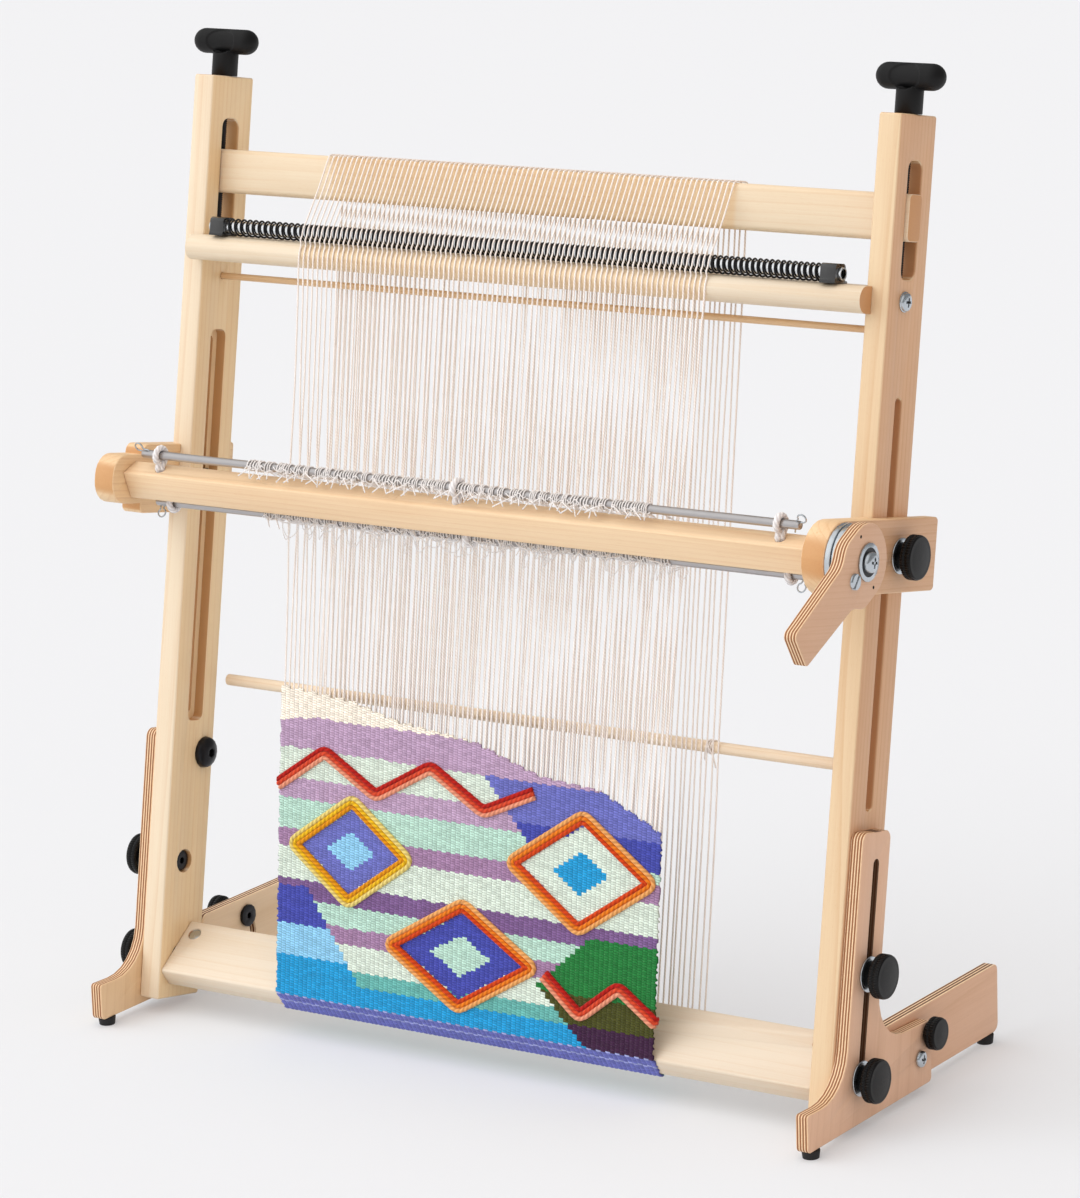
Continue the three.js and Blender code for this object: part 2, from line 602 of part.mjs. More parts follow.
const boltHeadStart = HALF_IN + ARM_HEAD_SLOT_DEPTH - FIT - BOLT_HEAD_HEIGHT;

// A bolt with its head at headX and its end at endX
function boltGeometry(headX, endX, { headDiameter = BOLT_HEAD_DIAMETER, headHeight = BOLT_HEAD_HEIGHT } = {}) {
  const bolt = turnedX([
    [0, headX],
    [headDiameter / 2, headX],
    [headDiameter / 2, headX + headHeight],
    [BOLT_DIAMETER / 2, headX + headHeight],
    [BOLT_DIAMETER / 2, endX],
    [0, endX],
  ], 14);
  const key = new THREE.CylinderGeometry(3.4, 3.4, 8, 6).rotateZ(Math.PI / 2).translate(headX, 0, 0);
  return cut(bolt, key);
}

// Leg bolts and knobs
const legKnob = knobGeometry(KNOB_DIAMETER, { washer: WASHER_THICKNESS, hub: KNOB_HUB_LENGTH });
const legKnobX = LEG_OUTER + FIT;
const legKnobBoreEnd = legKnobX + WASHER_THICKNESS + KNOB_HUB_LENGTH + KNOB_HEAD_LENGTH - 5;
LEG_BOLTS_UP.forEach((up, i) => {
  const place = ['lower', 'upper'][i];
  const bolt = boltGeometry(boltHeadStart, legKnobBoreEnd - 1).translate(0, LEG_BOLT_DEPTH, up);
  addPair(frame, `leg_bolt_${place}`, bolt, BLACK_STEEL);
  const knob = legKnob.clone().translate(legKnobX, LEG_BOLT_DEPTH, up);
  addPair(frame, `leg_knob_${place}`, knob, BLACK_PLASTIC);
});

// A point of the frame at rest, in the loom's own y and z
function atRest(depth, up) {
  const y = depth * Math.cos(LEAN) + up * Math.sin(LEAN);
  const z = POST_FOOT_HEIGHT - depth * Math.sin(LEAN) + up * Math.cos(LEAN);
  return [y, z];
}

// Legs: an arm that follows the post and a long foot, cut from one plate
const legOutline = rounded([
  [LEG_FOOT_FRONT, LEG_CLEARANCE, 5],
  [LEG_REAR, LEG_CLEARANCE, 5],
  [LEG_REAR, LEG_REAR_HEIGHT, 5],
  [...atRest(LEG_ARM_BACK, LEG_REAR_HEIGHT - 1), 44],
  [...atRest(LEG_ARM_BACK, LEG_ARM_TOP), 8],
  [...atRest(LEG_ARM_FRONT, LEG_ARM_TOP), 8],
  [...atRest(LEG_ARM_FRONT, LEG_FOOT_HEIGHT - 17), 46],
  [LEG_FOOT_FRONT, LEG_FOOT_HEIGHT, 3],
]);
const [legSlotLow, legSlotHigh] = [LEG_BOLTS_UP[0], LEG_BOLTS_UP[1] + LEG_TRAVEL];
const legSlotShape = rounded(slot(LEG_SLOT_WIDTH, legSlotLow - LEG_SLOT_WIDTH / 2, legSlotHigh + LEG_SLOT_WIDTH / 2, LEG_BOLT_DEPTH));
const legSlot = alongX(legSlotShape, LEG_INNER - 1, LEG_OUTER + 1);
legSlot.rotateX(-LEAN).translate(0, 0, POST_FOOT_HEIGHT);
const legBlank = alongX(legOutline, LEG_INNER, LEG_OUTER, { ease: 0.8, curveSegments: 3 });
const leg = cut(
  legBlank,
  legSlot,
  rodX(PIVOT_DIAMETER + SLIP, LEG_INNER - 1, LEG_OUTER + 1, PIVOT.y, PIVOT.z, 12),
  rodX(BOLT_DIAMETER + SLIP, LEG_INNER - 1, LEG_OUTER + 1, REAR_KNOB.y, REAR_KNOB.z, 12),
);
addPair(loom, 'leg', leg, PLYWOOD);

// Rear legs, which fold up about a screw while a knob runs in a curved slot
const rearLegOutline = rounded([
  [REAR_LEG_FRONT, REAR_LEG_BOTTOM, 8],
  [REAR_LEG_REAR, REAR_LEG_BOTTOM, 8],
  [REAR_LEG_REAR, REAR_LEG_TOP, 6],
  [REAR_LEG_FRONT, REAR_LEG_TOP, 8],
]);
const knobReach = Math.hypot(REAR_KNOB.y - PIVOT.y, REAR_KNOB.z - PIVOT.z);
const knobAngle = Math.atan2(REAR_KNOB.z - PIVOT.z, REAR_KNOB.y - PIVOT.y);
const foldSlot = new THREE.Shape();
const foldHalf = (BOLT_DIAMETER + SLIP) / 2;
const foldAngle = knobAngle - Math.PI / 2;
const foldEnd = [PIVOT.y + knobReach * Math.cos(foldAngle), PIVOT.z + knobReach * Math.sin(foldAngle)];
foldSlot.absarc(PIVOT.y, PIVOT.z, knobReach + foldHalf, foldAngle, knobAngle, false);
foldSlot.absarc(REAR_KNOB.y, REAR_KNOB.z, foldHalf, knobAngle, knobAngle + Math.PI, false);
foldSlot.absarc(PIVOT.y, PIVOT.z, knobReach - foldHalf, knobAngle, foldAngle, true);
foldSlot.absarc(foldEnd[0], foldEnd[1], foldHalf, foldAngle + Math.PI, foldAngle + 2 * Math.PI, false);
const rearLeg = cut(
  alongX(rearLegOutline, REAR_LEG_INNER, REAR_LEG_OUTER, { ease: 0.8 }),
  alongX(foldSlot, REAR_LEG_INNER - 1, REAR_LEG_OUTER + 1, { curveSegments: 4 }),
  rodX(PIVOT_DIAMETER + SLIP, REAR_LEG_INNER - 1, REAR_LEG_OUTER + 1, PIVOT.y, PIVOT.z, 12),
);
addPair(loom, 'rear_leg', rearLeg, PLYWOOD);

const pivotHead = 2.6;
const pivotScrew = turnedX([
  [0, REAR_LEG_INNER - FIT - pivotHead],
  [5.5, REAR_LEG_INNER - FIT - pivotHead],
  [5.5, REAR_LEG_INNER - FIT],
  [PIVOT_DIAMETER / 2, REAR_LEG_INNER - FIT],
  [PIVOT_DIAMETER / 2, LEG_OUTER + FIT],
  [7.5, LEG_OUTER + FIT],
  [7.5, LEG_OUTER + FIT + 1],
  [6.2, LEG_OUTER + FIT + 1],
  [4.5, LEG_OUTER + FIT + 3.4],
  [0, LEG_OUTER + FIT + 4],
], 12).translate(0, PIVOT.y, PIVOT.z);
addPair(loom, 'rear_pivot', pivotScrew, STEEL);

const rearKnobX = LEG_OUTER + FIT;
const rearKnob = knobGeometry(REAR_KNOB_DIAMETER, { washer: 0, hub: 1.5 });
addPair(loom, 'rear_knob', rearKnob.translate(rearKnobX, REAR_KNOB.y, REAR_KNOB.z), BLACK_PLASTIC);
const rearBolt = boltGeometry(REAR_LEG_INNER - FIT - 3, rearKnobX + KNOB_HEAD_LENGTH - 5, { headDiameter: 22, headHeight: 3 });
addPair(loom, 'rear_bolt', rearBolt.translate(0, REAR_KNOB.y, REAR_KNOB.z), BLACK_STEEL);

// Rubber feet
function footGeometry(height, x, y) {
  const foot = new THREE.CylinderGeometry(FOOT_DIAMETER / 2 - 1, FOOT_DIAMETER / 2, height, 16);
  return foot.rotateX(-Math.PI / 2).translate(x, y, height / 2);
}
const frontFootX = (LEG_INNER + LEG_OUTER) / 2;
const rearFootX = (REAR_LEG_INNER + REAR_LEG_OUTER) / 2;
const frontFootY = LEG_FOOT_FRONT + FOOT_INSET + FOOT_DIAMETER / 2;
const rearFootY = REAR_LEG_REAR - FOOT_INSET - FOOT_DIAMETER / 2;
addPair(loom, 'front_foot', footGeometry(LEG_CLEARANCE - FIT, frontFootX, frontFootY), RUBBER);
addPair(loom, 'rear_foot', footGeometry(REAR_LEG_BOTTOM - FIT, rearFootX, rearFootY), RUBBER);

// Heddle arms: each is rabbeted to clasp its post and bolted through the long slot
const armLow = ARM_MIDDLE - ARM_HEIGHT / 2;
const armHigh = ARM_MIDDLE + ARM_HEIGHT / 2;
const armNose = ARM_HEIGHT / 2 - 0.1;
const armTip = SHED_PIVOT_DEPTH - ARM_HEIGHT / 2;
const rightArmOutline = rounded([
  [armTip, armLow, armNose],
  [ARM_REAR, armLow, 4],
  [ARM_REAR, armHigh, 4],
  [armTip, armHigh, armNose],
]);
const shoulder = SHED_PIVOT_DEPTH + LEFT_ARM_SHOULDER;
const tongueLow = ARM_MIDDLE - LEFT_TONGUE_HEIGHT / 2;
const tongueHigh = ARM_MIDDLE + LEFT_TONGUE_HEIGHT / 2;
const tongueTip = SHED_PIVOT_DEPTH - LEFT_TONGUE_LENGTH;
const leftArmOutline = rounded([
  [tongueTip, tongueLow, 20],
  [shoulder, tongueLow, 0],
  [shoulder, armLow, 6],
  [ARM_REAR, armLow, 4],
  [ARM_REAR, armHigh, 4],
  [shoulder, armHigh, 8],
  [shoulder, tongueHigh, 0],
  [tongueTip, tongueHigh, 20],
]);
function armGeometry(outline) {
  return cut(
    alongX(outline, ARM_INNER, ARM_OUTER, { ease: 0.8, curveSegments: 3 }),
    box(ARM_INNER - 1, HALF_OUT + FIT, -FIT, ARM_REAR + 1, armLow - 1, armHigh + 1),
    rodX(BOLT_DIAMETER + SLIP, HALF_OUT - 1, ARM_OUTER + 1, POST_MIDDLE, ARM_MIDDLE, 12),
    rodX(SHAFT_DIAMETER + SLIP, ARM_INNER - 1, ARM_OUTER + 1, SHED_PIVOT_DEPTH, ARM_MIDDLE, 16),
  );
}
add(frame, 'heddle_arm_right', armGeometry(rightArmOutline), MAPLE);
add(frame, 'heddle_arm_left', mirrored(armGeometry(leftArmOutline)), MAPLE);

const armKnobX = ARM_OUTER + FIT;
const armKnob = knobGeometry(KNOB_DIAMETER, { washer: WASHER_THICKNESS, hub: KNOB_HUB_LENGTH });
addPair(frame, 'arm_knob', armKnob.translate(armKnobX, POST_MIDDLE, ARM_MIDDLE), BLACK_PLASTIC);
const armBoltEnd = armKnobX + WASHER_THICKNESS + KNOB_HUB_LENGTH + KNOB_HEAD_LENGTH - 6;
const armBolt = boltGeometry(boltHeadStart, armBoltEnd);
addPair(frame, 'arm_bolt', armBolt.translate(0, POST_MIDDLE, ARM_MIDDLE), BLACK_STEEL);

// Heddle bar between the arms, turned forward about the shaft
const shed = new THREE.Group();
shed.position.set(0, SHED_PIVOT_DEPTH, ARM_MIDDLE);
shed.rotation.x = BAR_TURN;
frame.add(shed);
const barEnd = ARM_INNER - FIT;
const barOutline = rounded([
  [-BOARD / 2, -BAR_HEIGHT / 2, 1.5],
  [BOARD / 2, -BAR_HEIGHT / 2, 1.5],
  [BOARD / 2, BAR_HEIGHT / 2, 1.5],
  [-BOARD / 2, BAR_HEIGHT / 2, 1.5],
]);
const shaftInBar = 24;
const barTools = TIE_PLACES.map((x) => rodZ(TIE_WIDTH + 1, -BAR_HEIGHT, BAR_HEIGHT, x, 0, 10));
barTools.push(rodX(SHAFT_DIAMETER + SLIP, barEnd - shaftInBar, barEnd + 1, 0, 0, 16));
barTools.push(rodX(SHAFT_DIAMETER + SLIP, -barEnd - 1, -barEnd + shaftInBar, 0, 0, 16));
add(shed, 'heddle_bar', cut(alongX(barOutline, -barEnd, barEnd, { curveSegments: 1 }), ...barTools), MAPLE);

// A rod tied to the bar: each tie loops round the rod and goes down into the bar
function heddleRod(side) {
  const rise = side * HEDDLE_ROD_RISE;
  const half = HEDDLE_ROD_LENGTH / 2;
  const rod = rodX(HEDDLE_ROD_DIAMETER, -half, half, HEDDLE_ROD_SETBACK, rise, 12);
  const loopRadius = HEDDLE_ROD_DIAMETER / 2 + TIE_THICKNESS;
  const ties = TIE_PLACES.flatMap((x) => {
    const loop = rodX(2 * loopRadius, x - TIE_WIDTH / 2, x + TIE_WIDTH / 2, HEDDLE_ROD_SETBACK, rise, 12);
    const corners = [
      [HEDDLE_ROD_SETBACK - loopRadius, rise],
      [HEDDLE_ROD_SETBACK + loopRadius, rise],
      [TIE_WIDTH / 3, side * (BAR_HEIGHT / 2 + FIT)],
      [TIE_WIDTH / 3, side * (BAR_HEIGHT / 2 - 5)],
      [-TIE_WIDTH / 3, side * (BAR_HEIGHT / 2 - 5)],
      [-TIE_WIDTH / 3, side * (BAR_HEIGHT / 2 + FIT)],
    ];
    const strap = rounded(side > 0 ? corners.reverse() : corners);
    return [loop, alongX(strap, x - 2.6, x + 2.6)];
  });
  return join(rod, ...ties);
}
add(shed, 'heddle_rod_upper', heddleRod(1), STEEL);
add(shed, 'heddle_rod_lower', heddleRod(-1), STEEL);

// Left end: a pin in the arm carries the bar
const pinHead = 4;
const pin = turnedX([
  [0, barEnd - shaftInBar + 1],
  [SHAFT_DIAMETER / 2, barEnd - shaftInBar + 1],
  [SHAFT_DIAMETER / 2, ARM_OUTER + FIT],
  [9, ARM_OUTER + FIT],
  [9, ARM_OUTER + FIT + pinHead - 1],
  [7, ARM_OUTER + FIT + pinHead],
  [0, ARM_OUTER + FIT + pinHead],
], 16).translate(0, SHED_PIVOT_DEPTH, ARM_MIDDLE);
add(frame, 'bar_pin_left', mirrored(pin), STEEL);

// Right end: a notched disc on the arm, its mate on the lever, and the shaft through both
function discGeometry(x0, x1) {
  const disc = circle(DISC_DIAMETER / 2, 0, 0, THREE.Shape);
  disc.holes.push(circle((SHAFT_DIAMETER + SLIP) / 2));
  return alongX(disc, x0, x1, { curveSegments: 14 });
}
const fixedDisc = add(frame, 'index_disc', discGeometry(DISC_INNER, DISC_INNER + DISC_THICKNESS), STEEL);
fixedDisc.position.set(0, SHED_PIVOT_DEPTH, ARM_MIDDLE);
add(shed, 'clutch_disc', discGeometry(MOVING_DISC_INNER, MOVING_DISC_INNER + DISC_THICKNESS), STEEL);

const leverHead = LEVER_HEAD_DIAMETER / 2;
const leverHalf = LEVER_WIDTH / 2;
const leverOutline = rounded([
  [-LEVER_REACH, leverHalf - 1, 6],
  [-leverHead - 3, leverHalf + 2, 22],
  [-leverHead + 12, leverHead, 22],
  [leverHead, leverHead, leverHead - 0.5],
  [leverHead, -leverHead, leverHead - 0.5],
  [-leverHead + 10, -leverHead, 20],
  [-leverHead - 5, -leverHalf - 2, 16],
  [-LEVER_REACH + 4, -leverHalf + 1, 4],
].reverse());
const leverBlank = alongX(leverOutline, LEVER_INNER, LEVER_OUTER, { ease: 0.8, curveSegments: 3 });
const leverBore = rodX(SHAFT_DIAMETER + SLIP, LEVER_INNER - 1, LEVER_OUTER + 1, 0, 0, 16);
const lever = add(shed, 'shed_lever', cut(leverBlank, leverBore), PLYWOOD);
lever.rotation.x = LEVER_DROOP;

const shaft = turnedX([
  [0, barEnd - shaftInBar + 1],
  [SHAFT_DIAMETER / 2, barEnd - shaftInBar + 1],
  [SHAFT_DIAMETER / 2, LEVER_OUTER + FIT],
  [LEVER_WASHER_DIAMETER / 2, LEVER_OUTER + FIT],
  [LEVER_WASHER_DIAMETER / 2, LEVER_OUTER + FIT + 1.5],
  [8.5, LEVER_OUTER + FIT + 1.5],
  [8.5, LEVER_OUTER + FIT + 4],
  [6, LEVER_OUTER + FIT + 6],
  [0, LEVER_OUTER + FIT + 6.6],
], 16);
add(shed, 'shed_shaft', shaft, STEEL);

// Depth of the stretched warp at a height up the posts
const NOSE_DEPTH = -SPACER_NOSE - FIT;
const beamCornerOut = (BOTTOM_BEAM_HALF + BOARD / 2) * BEAM_DIAGONAL;
const beamCornerIn = (BOTTOM_BEAM_HALF - BOARD / 2) * BEAM_DIAGONAL;
const FRONT_CORNER = { y: POST_MIDDLE - beamCornerOut, z: BOTTOM_BEAM_HEIGHT - beamCornerIn };
const LOW_CORNER = { y: POST_MIDDLE - beamCornerIn, z: BOTTOM_BEAM_HEIGHT - beamCornerOut };
const BACK_CORNER = { y: POST_MIDDLE + beamCornerOut, z: BOTTOM_BEAM_HEIGHT + beamCornerIn };
function warpDepth(up) {
  const share = (up - FRONT_CORNER.z) / (SPACER_MIDDLE - FRONT_CORNER.z);
  return THREE.MathUtils.lerp(FRONT_CORNER.y - FIT, NOSE_DEPTH, share);
}

// A strip that follows [y, z] points, thickened to one side and run along x
function strip(points, thickness, x0, x1) {
  const line = points.map(([y, z]) => new THREE.Vector2(y, z));
  const offset = line.map((point, i) => {
    const before = line[Math.max(i - 1, 0)];
    const after = line[Math.min(i + 1, line.length - 1)];
    const first = point.clone().sub(before).normalize();
    const second = after.clone().sub(point).normalize();
    const along = first.add(second).normalize();
    const bend = i > 0 && i < line.length - 1 ? 1 / Math.max(along.dot(second), 0.5) : 1;
    return new THREE.Vector2(-along.y, along.x).multiplyScalar(thickness * bend).add(point);
  });
  return alongX(new THREE.Shape([...line, ...offset.reverse()]), x0, x1);
}

// The cloth's woven edge falls in steps from left to right, given as shares of its width and fall
const EDGE_STEPS = [[0, 0], [0.188, 0.07], [0.325, 0.233], [0.52, 0.326], [0.686, 0.581], [0.848, 0.651], [1, 1]];
const CLOTH_EDGE = EDGE_STEPS.map(([across, fall]) => [
  THREE.MathUtils.lerp(CLOTH_LEFT, CLOTH_RIGHT, across),
  CLOTH_HEIGHT - fall * CLOTH_FALL,
]);
const clothLow = CLOTH_HEIGHT - CLOTH_FALL;
const pastEdge = CLOTH_FALL / 4;
const edgeTop = CLOTH_HEIGHT + CLOTH_FALL;
function edgeBlock(lift) {
  const shape = new THREE.Shape();
  shape.moveTo(CLOTH_LEFT - 20, edgeTop);
  CLOTH_EDGE.forEach(([x, up], i) => {
    if (i === 0) shape.lineTo(CLOTH_LEFT - 20, up + lift);
    shape.lineTo(x, up + lift);
  });
  shape.lineTo(CLOTH_RIGHT + 40, CLOTH_EDGE.at(-1)[1] + lift);
  shape.lineTo(CLOTH_RIGHT + 40, edgeTop);
  shape.closePath();
  const block = new THREE.ExtrudeGeometry(shape, { depth: 60, bevelEnabled: false });
  return block.rotateX(Math.PI / 2).translate(0, 30, 0);
}

// Cloth: down the front, round the bottom beam's front edge and along its underside
const WRAP_END = 0.62;
const beneath = (share) => [
  THREE.MathUtils.lerp(LOW_CORNER.y, BACK_CORNER.y, share),
  THREE.MathUtils.lerp(LOW_CORNER.z, BACK_CORNER.z, share) - FIT * 1.5,
];
const clothPath = [
  beneath(WRAP_END),
  [LOW_CORNER.y + 0.4, LOW_CORNER.z - FIT],
  [FRONT_CORNER.y - FIT, FRONT_CORNER.z - 0.4],
  [warpDepth(CLOTH_HEIGHT + pastEdge), CLOTH_HEIGHT + pastEdge],
];
const cloth = cut(strip(clothPath, CLOTH_THICKNESS, CLOTH_LEFT, CLOTH_RIGHT), edgeBlock(0));
add(frame, 'tapestry', cloth, CLOTH);

// Height of the cloth's woven edge at a place across the loom
function edgeHeight(x) {
  const left = CLOTH_EDGE.findLast(([at]) => at <= x) ?? CLOTH_EDGE[0];
  const right = CLOTH_EDGE.find(([at]) => at > x) ?? CLOTH_EDGE.at(-1);
  const share = left === right ? 0 : (x - left[0]) / (right[0] - left[0]);
  return THREE.MathUtils.lerp(left[1], right[1], share);
}

// Openings that part a layer of warp into groups of threads, between two depths
const openingWidth = (WARP_RIGHT - WARP_LEFT - WARP_GROUP_WIDTH * (WARP_OPENINGS + 1)) / WARP_OPENINGS;
function warpOpenings(y0, y1, lowAt, high) {
  return [...Array(WARP_OPENINGS).keys()].map((i) => {
    const x = WARP_LEFT + WARP_GROUP_WIDTH + i * (openingWidth + WARP_GROUP_WIDTH);
    return box(x, x + openingWidth, y0, y1, lowAt(x) + WARP_BAND, high - WARP_BAND);
  });
}

// Bare warp between the cloth and the spacer beam's nose
const frontStrip = strip([
  [warpDepth(clothLow - pastEdge), clothLow - pastEdge],
  [NOSE_DEPTH, SPACER_MIDDLE - 4],
  [NOSE_DEPTH, SPACER_MIDDLE + 4],
  [NOSE_DEPTH + 4.5, SPACER_TOP - 1],
], WARP_THICKNESS, WARP_LEFT, WARP_RIGHT);
const belowEdge = new THREE.Shape();
belowEdge.moveTo(WARP_LEFT - 1, clothLow - CLOTH_FALL);
belowEdge.lineTo(WARP_RIGHT + 1, clothLow - CLOTH_FALL);
belowEdge.lineTo(WARP_RIGHT + 1, CLOTH_EDGE.at(-1)[1] + FIT);
[...CLOTH_EDGE].reverse().forEach(([x, up]) => belowEdge.lineTo(x, up + FIT));
belowEdge.lineTo(WARP_LEFT - 1, CLOTH_HEIGHT + FIT);
belowEdge.closePath();
const clothBlock = new THREE.ExtrudeGeometry(belowEdge, { depth: 60, bevelEnabled: false });
clothBlock.rotateX(Math.PI / 2).translate(0, 30, 0);
const frontOpenings = warpOpenings(-2 * SPACER_NOSE, POST_MIDDLE, edgeHeight, SPACER_BOTTOM);
add(frame, 'warp_front', cut(frontStrip, clothBlock, ...frontOpenings), WARP);

// Warp from the spring up over the top beam and down the back to the bottom beam
const climb = new THREE.Vector2(TOP_BEAM_FRONT + SPACER_NOSE, TOP_BEAM_TOP - SPACER_MIDDLE).normalize();
const springTop = SPRING_OUTER_DIAMETER / 2 + 1.2;
const backStrip = strip([
  [-SPRING_SETBACK + climb.x * springTop + 1, SPRING_MIDDLE + climb.y * springTop],
  [TOP_BEAM_FRONT - FIT, TOP_BEAM_TOP - 4],
  [TOP_BEAM_FRONT + 2.5, TOP_BEAM_TOP + FIT],
  [TOP_BEAM_BACK - 2.5, TOP_BEAM_TOP + FIT],
  [TOP_BEAM_BACK + FIT, TOP_BEAM_TOP - 4],
  [BACK_CORNER.y + FIT, BACK_CORNER.z],
], WARP_THICKNESS, WARP_LEFT, WARP_RIGHT);
const backOpenings = warpOpenings(POST_MIDDLE, 2 * POST_DEPTH, () => BACK_CORNER.z, TOP_BEAM_BOTTOM);
add(frame, 'warp_back', cut(backStrip, ...backOpenings), WARP);

// Heddles between each rod and the warp
function heddleStrip(side) {
  const place = new THREE.Vector2(HEDDLE_ROD_SETBACK, side * HEDDLE_ROD_RISE);
  place.rotateAround(new THREE.Vector2(), BAR_TURN).add(new THREE.Vector2(SHED_PIVOT_DEPTH, ARM_MIDDLE));
  const start = HEDDLE_ROD_DIAMETER / 2 + TIE_THICKNESS + FIT;
  const end = warpDepth(ARM_MIDDLE) - WARP_THICKNESS - 2 * FIT;
  const drop = side > 0 ? UPPER_HEDDLE_DROP : LOWER_HEDDLE_DROP;
  return strip([
    [end, place.y - drop],
    [place.x + start, place.y],
  ], WARP_THICKNESS, CLOTH_LEFT, CLOTH_RIGHT);
}
add(frame, 'heddles_upper', heddleStrip(1), WARP);
add(frame, 'heddles_lower', heddleStrip(-1), WARP);

// Warping bar, behind the loom in the back layer of the warp
const backShare = (WARP_BAR_HEIGHT - BACK_CORNER.z) / (TOP_BEAM_TOP - 4 - BACK_CORNER.z);
const backDepth = THREE.MathUtils.lerp(BACK_CORNER.y, TOP_BEAM_BACK, backShare);
const warpBarDepth = backDepth + 3 * FIT + WARP_THICKNESS + WARP_BAR_DIAMETER / 2;
add(frame, 'warp_bar', rodX(WARP_BAR_DIAMETER, WARP_BAR_LEFT, WARP_BAR_RIGHT, warpBarDepth, WARP_BAR_HEIGHT, 16), MAPLE);

// The origin is on the floor, under the middle of the loom
loom.updateMatrixWorld(true);
const bounds = new THREE.Box3().setFromObject(loom, true);
const middle = bounds.getCenter(new THREE.Vector3());
loom.position.set(-middle.x, -middle.y, -bounds.min.z);

export default loom;
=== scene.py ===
"""Looks of a leaning tapestry loom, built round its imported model.

Lengths in the classes are in millimetres, in the loom's own axes: x across the loom, depth behind
the posts' front faces, and up along the posts. Everything handed to Blender is in metres.
"""

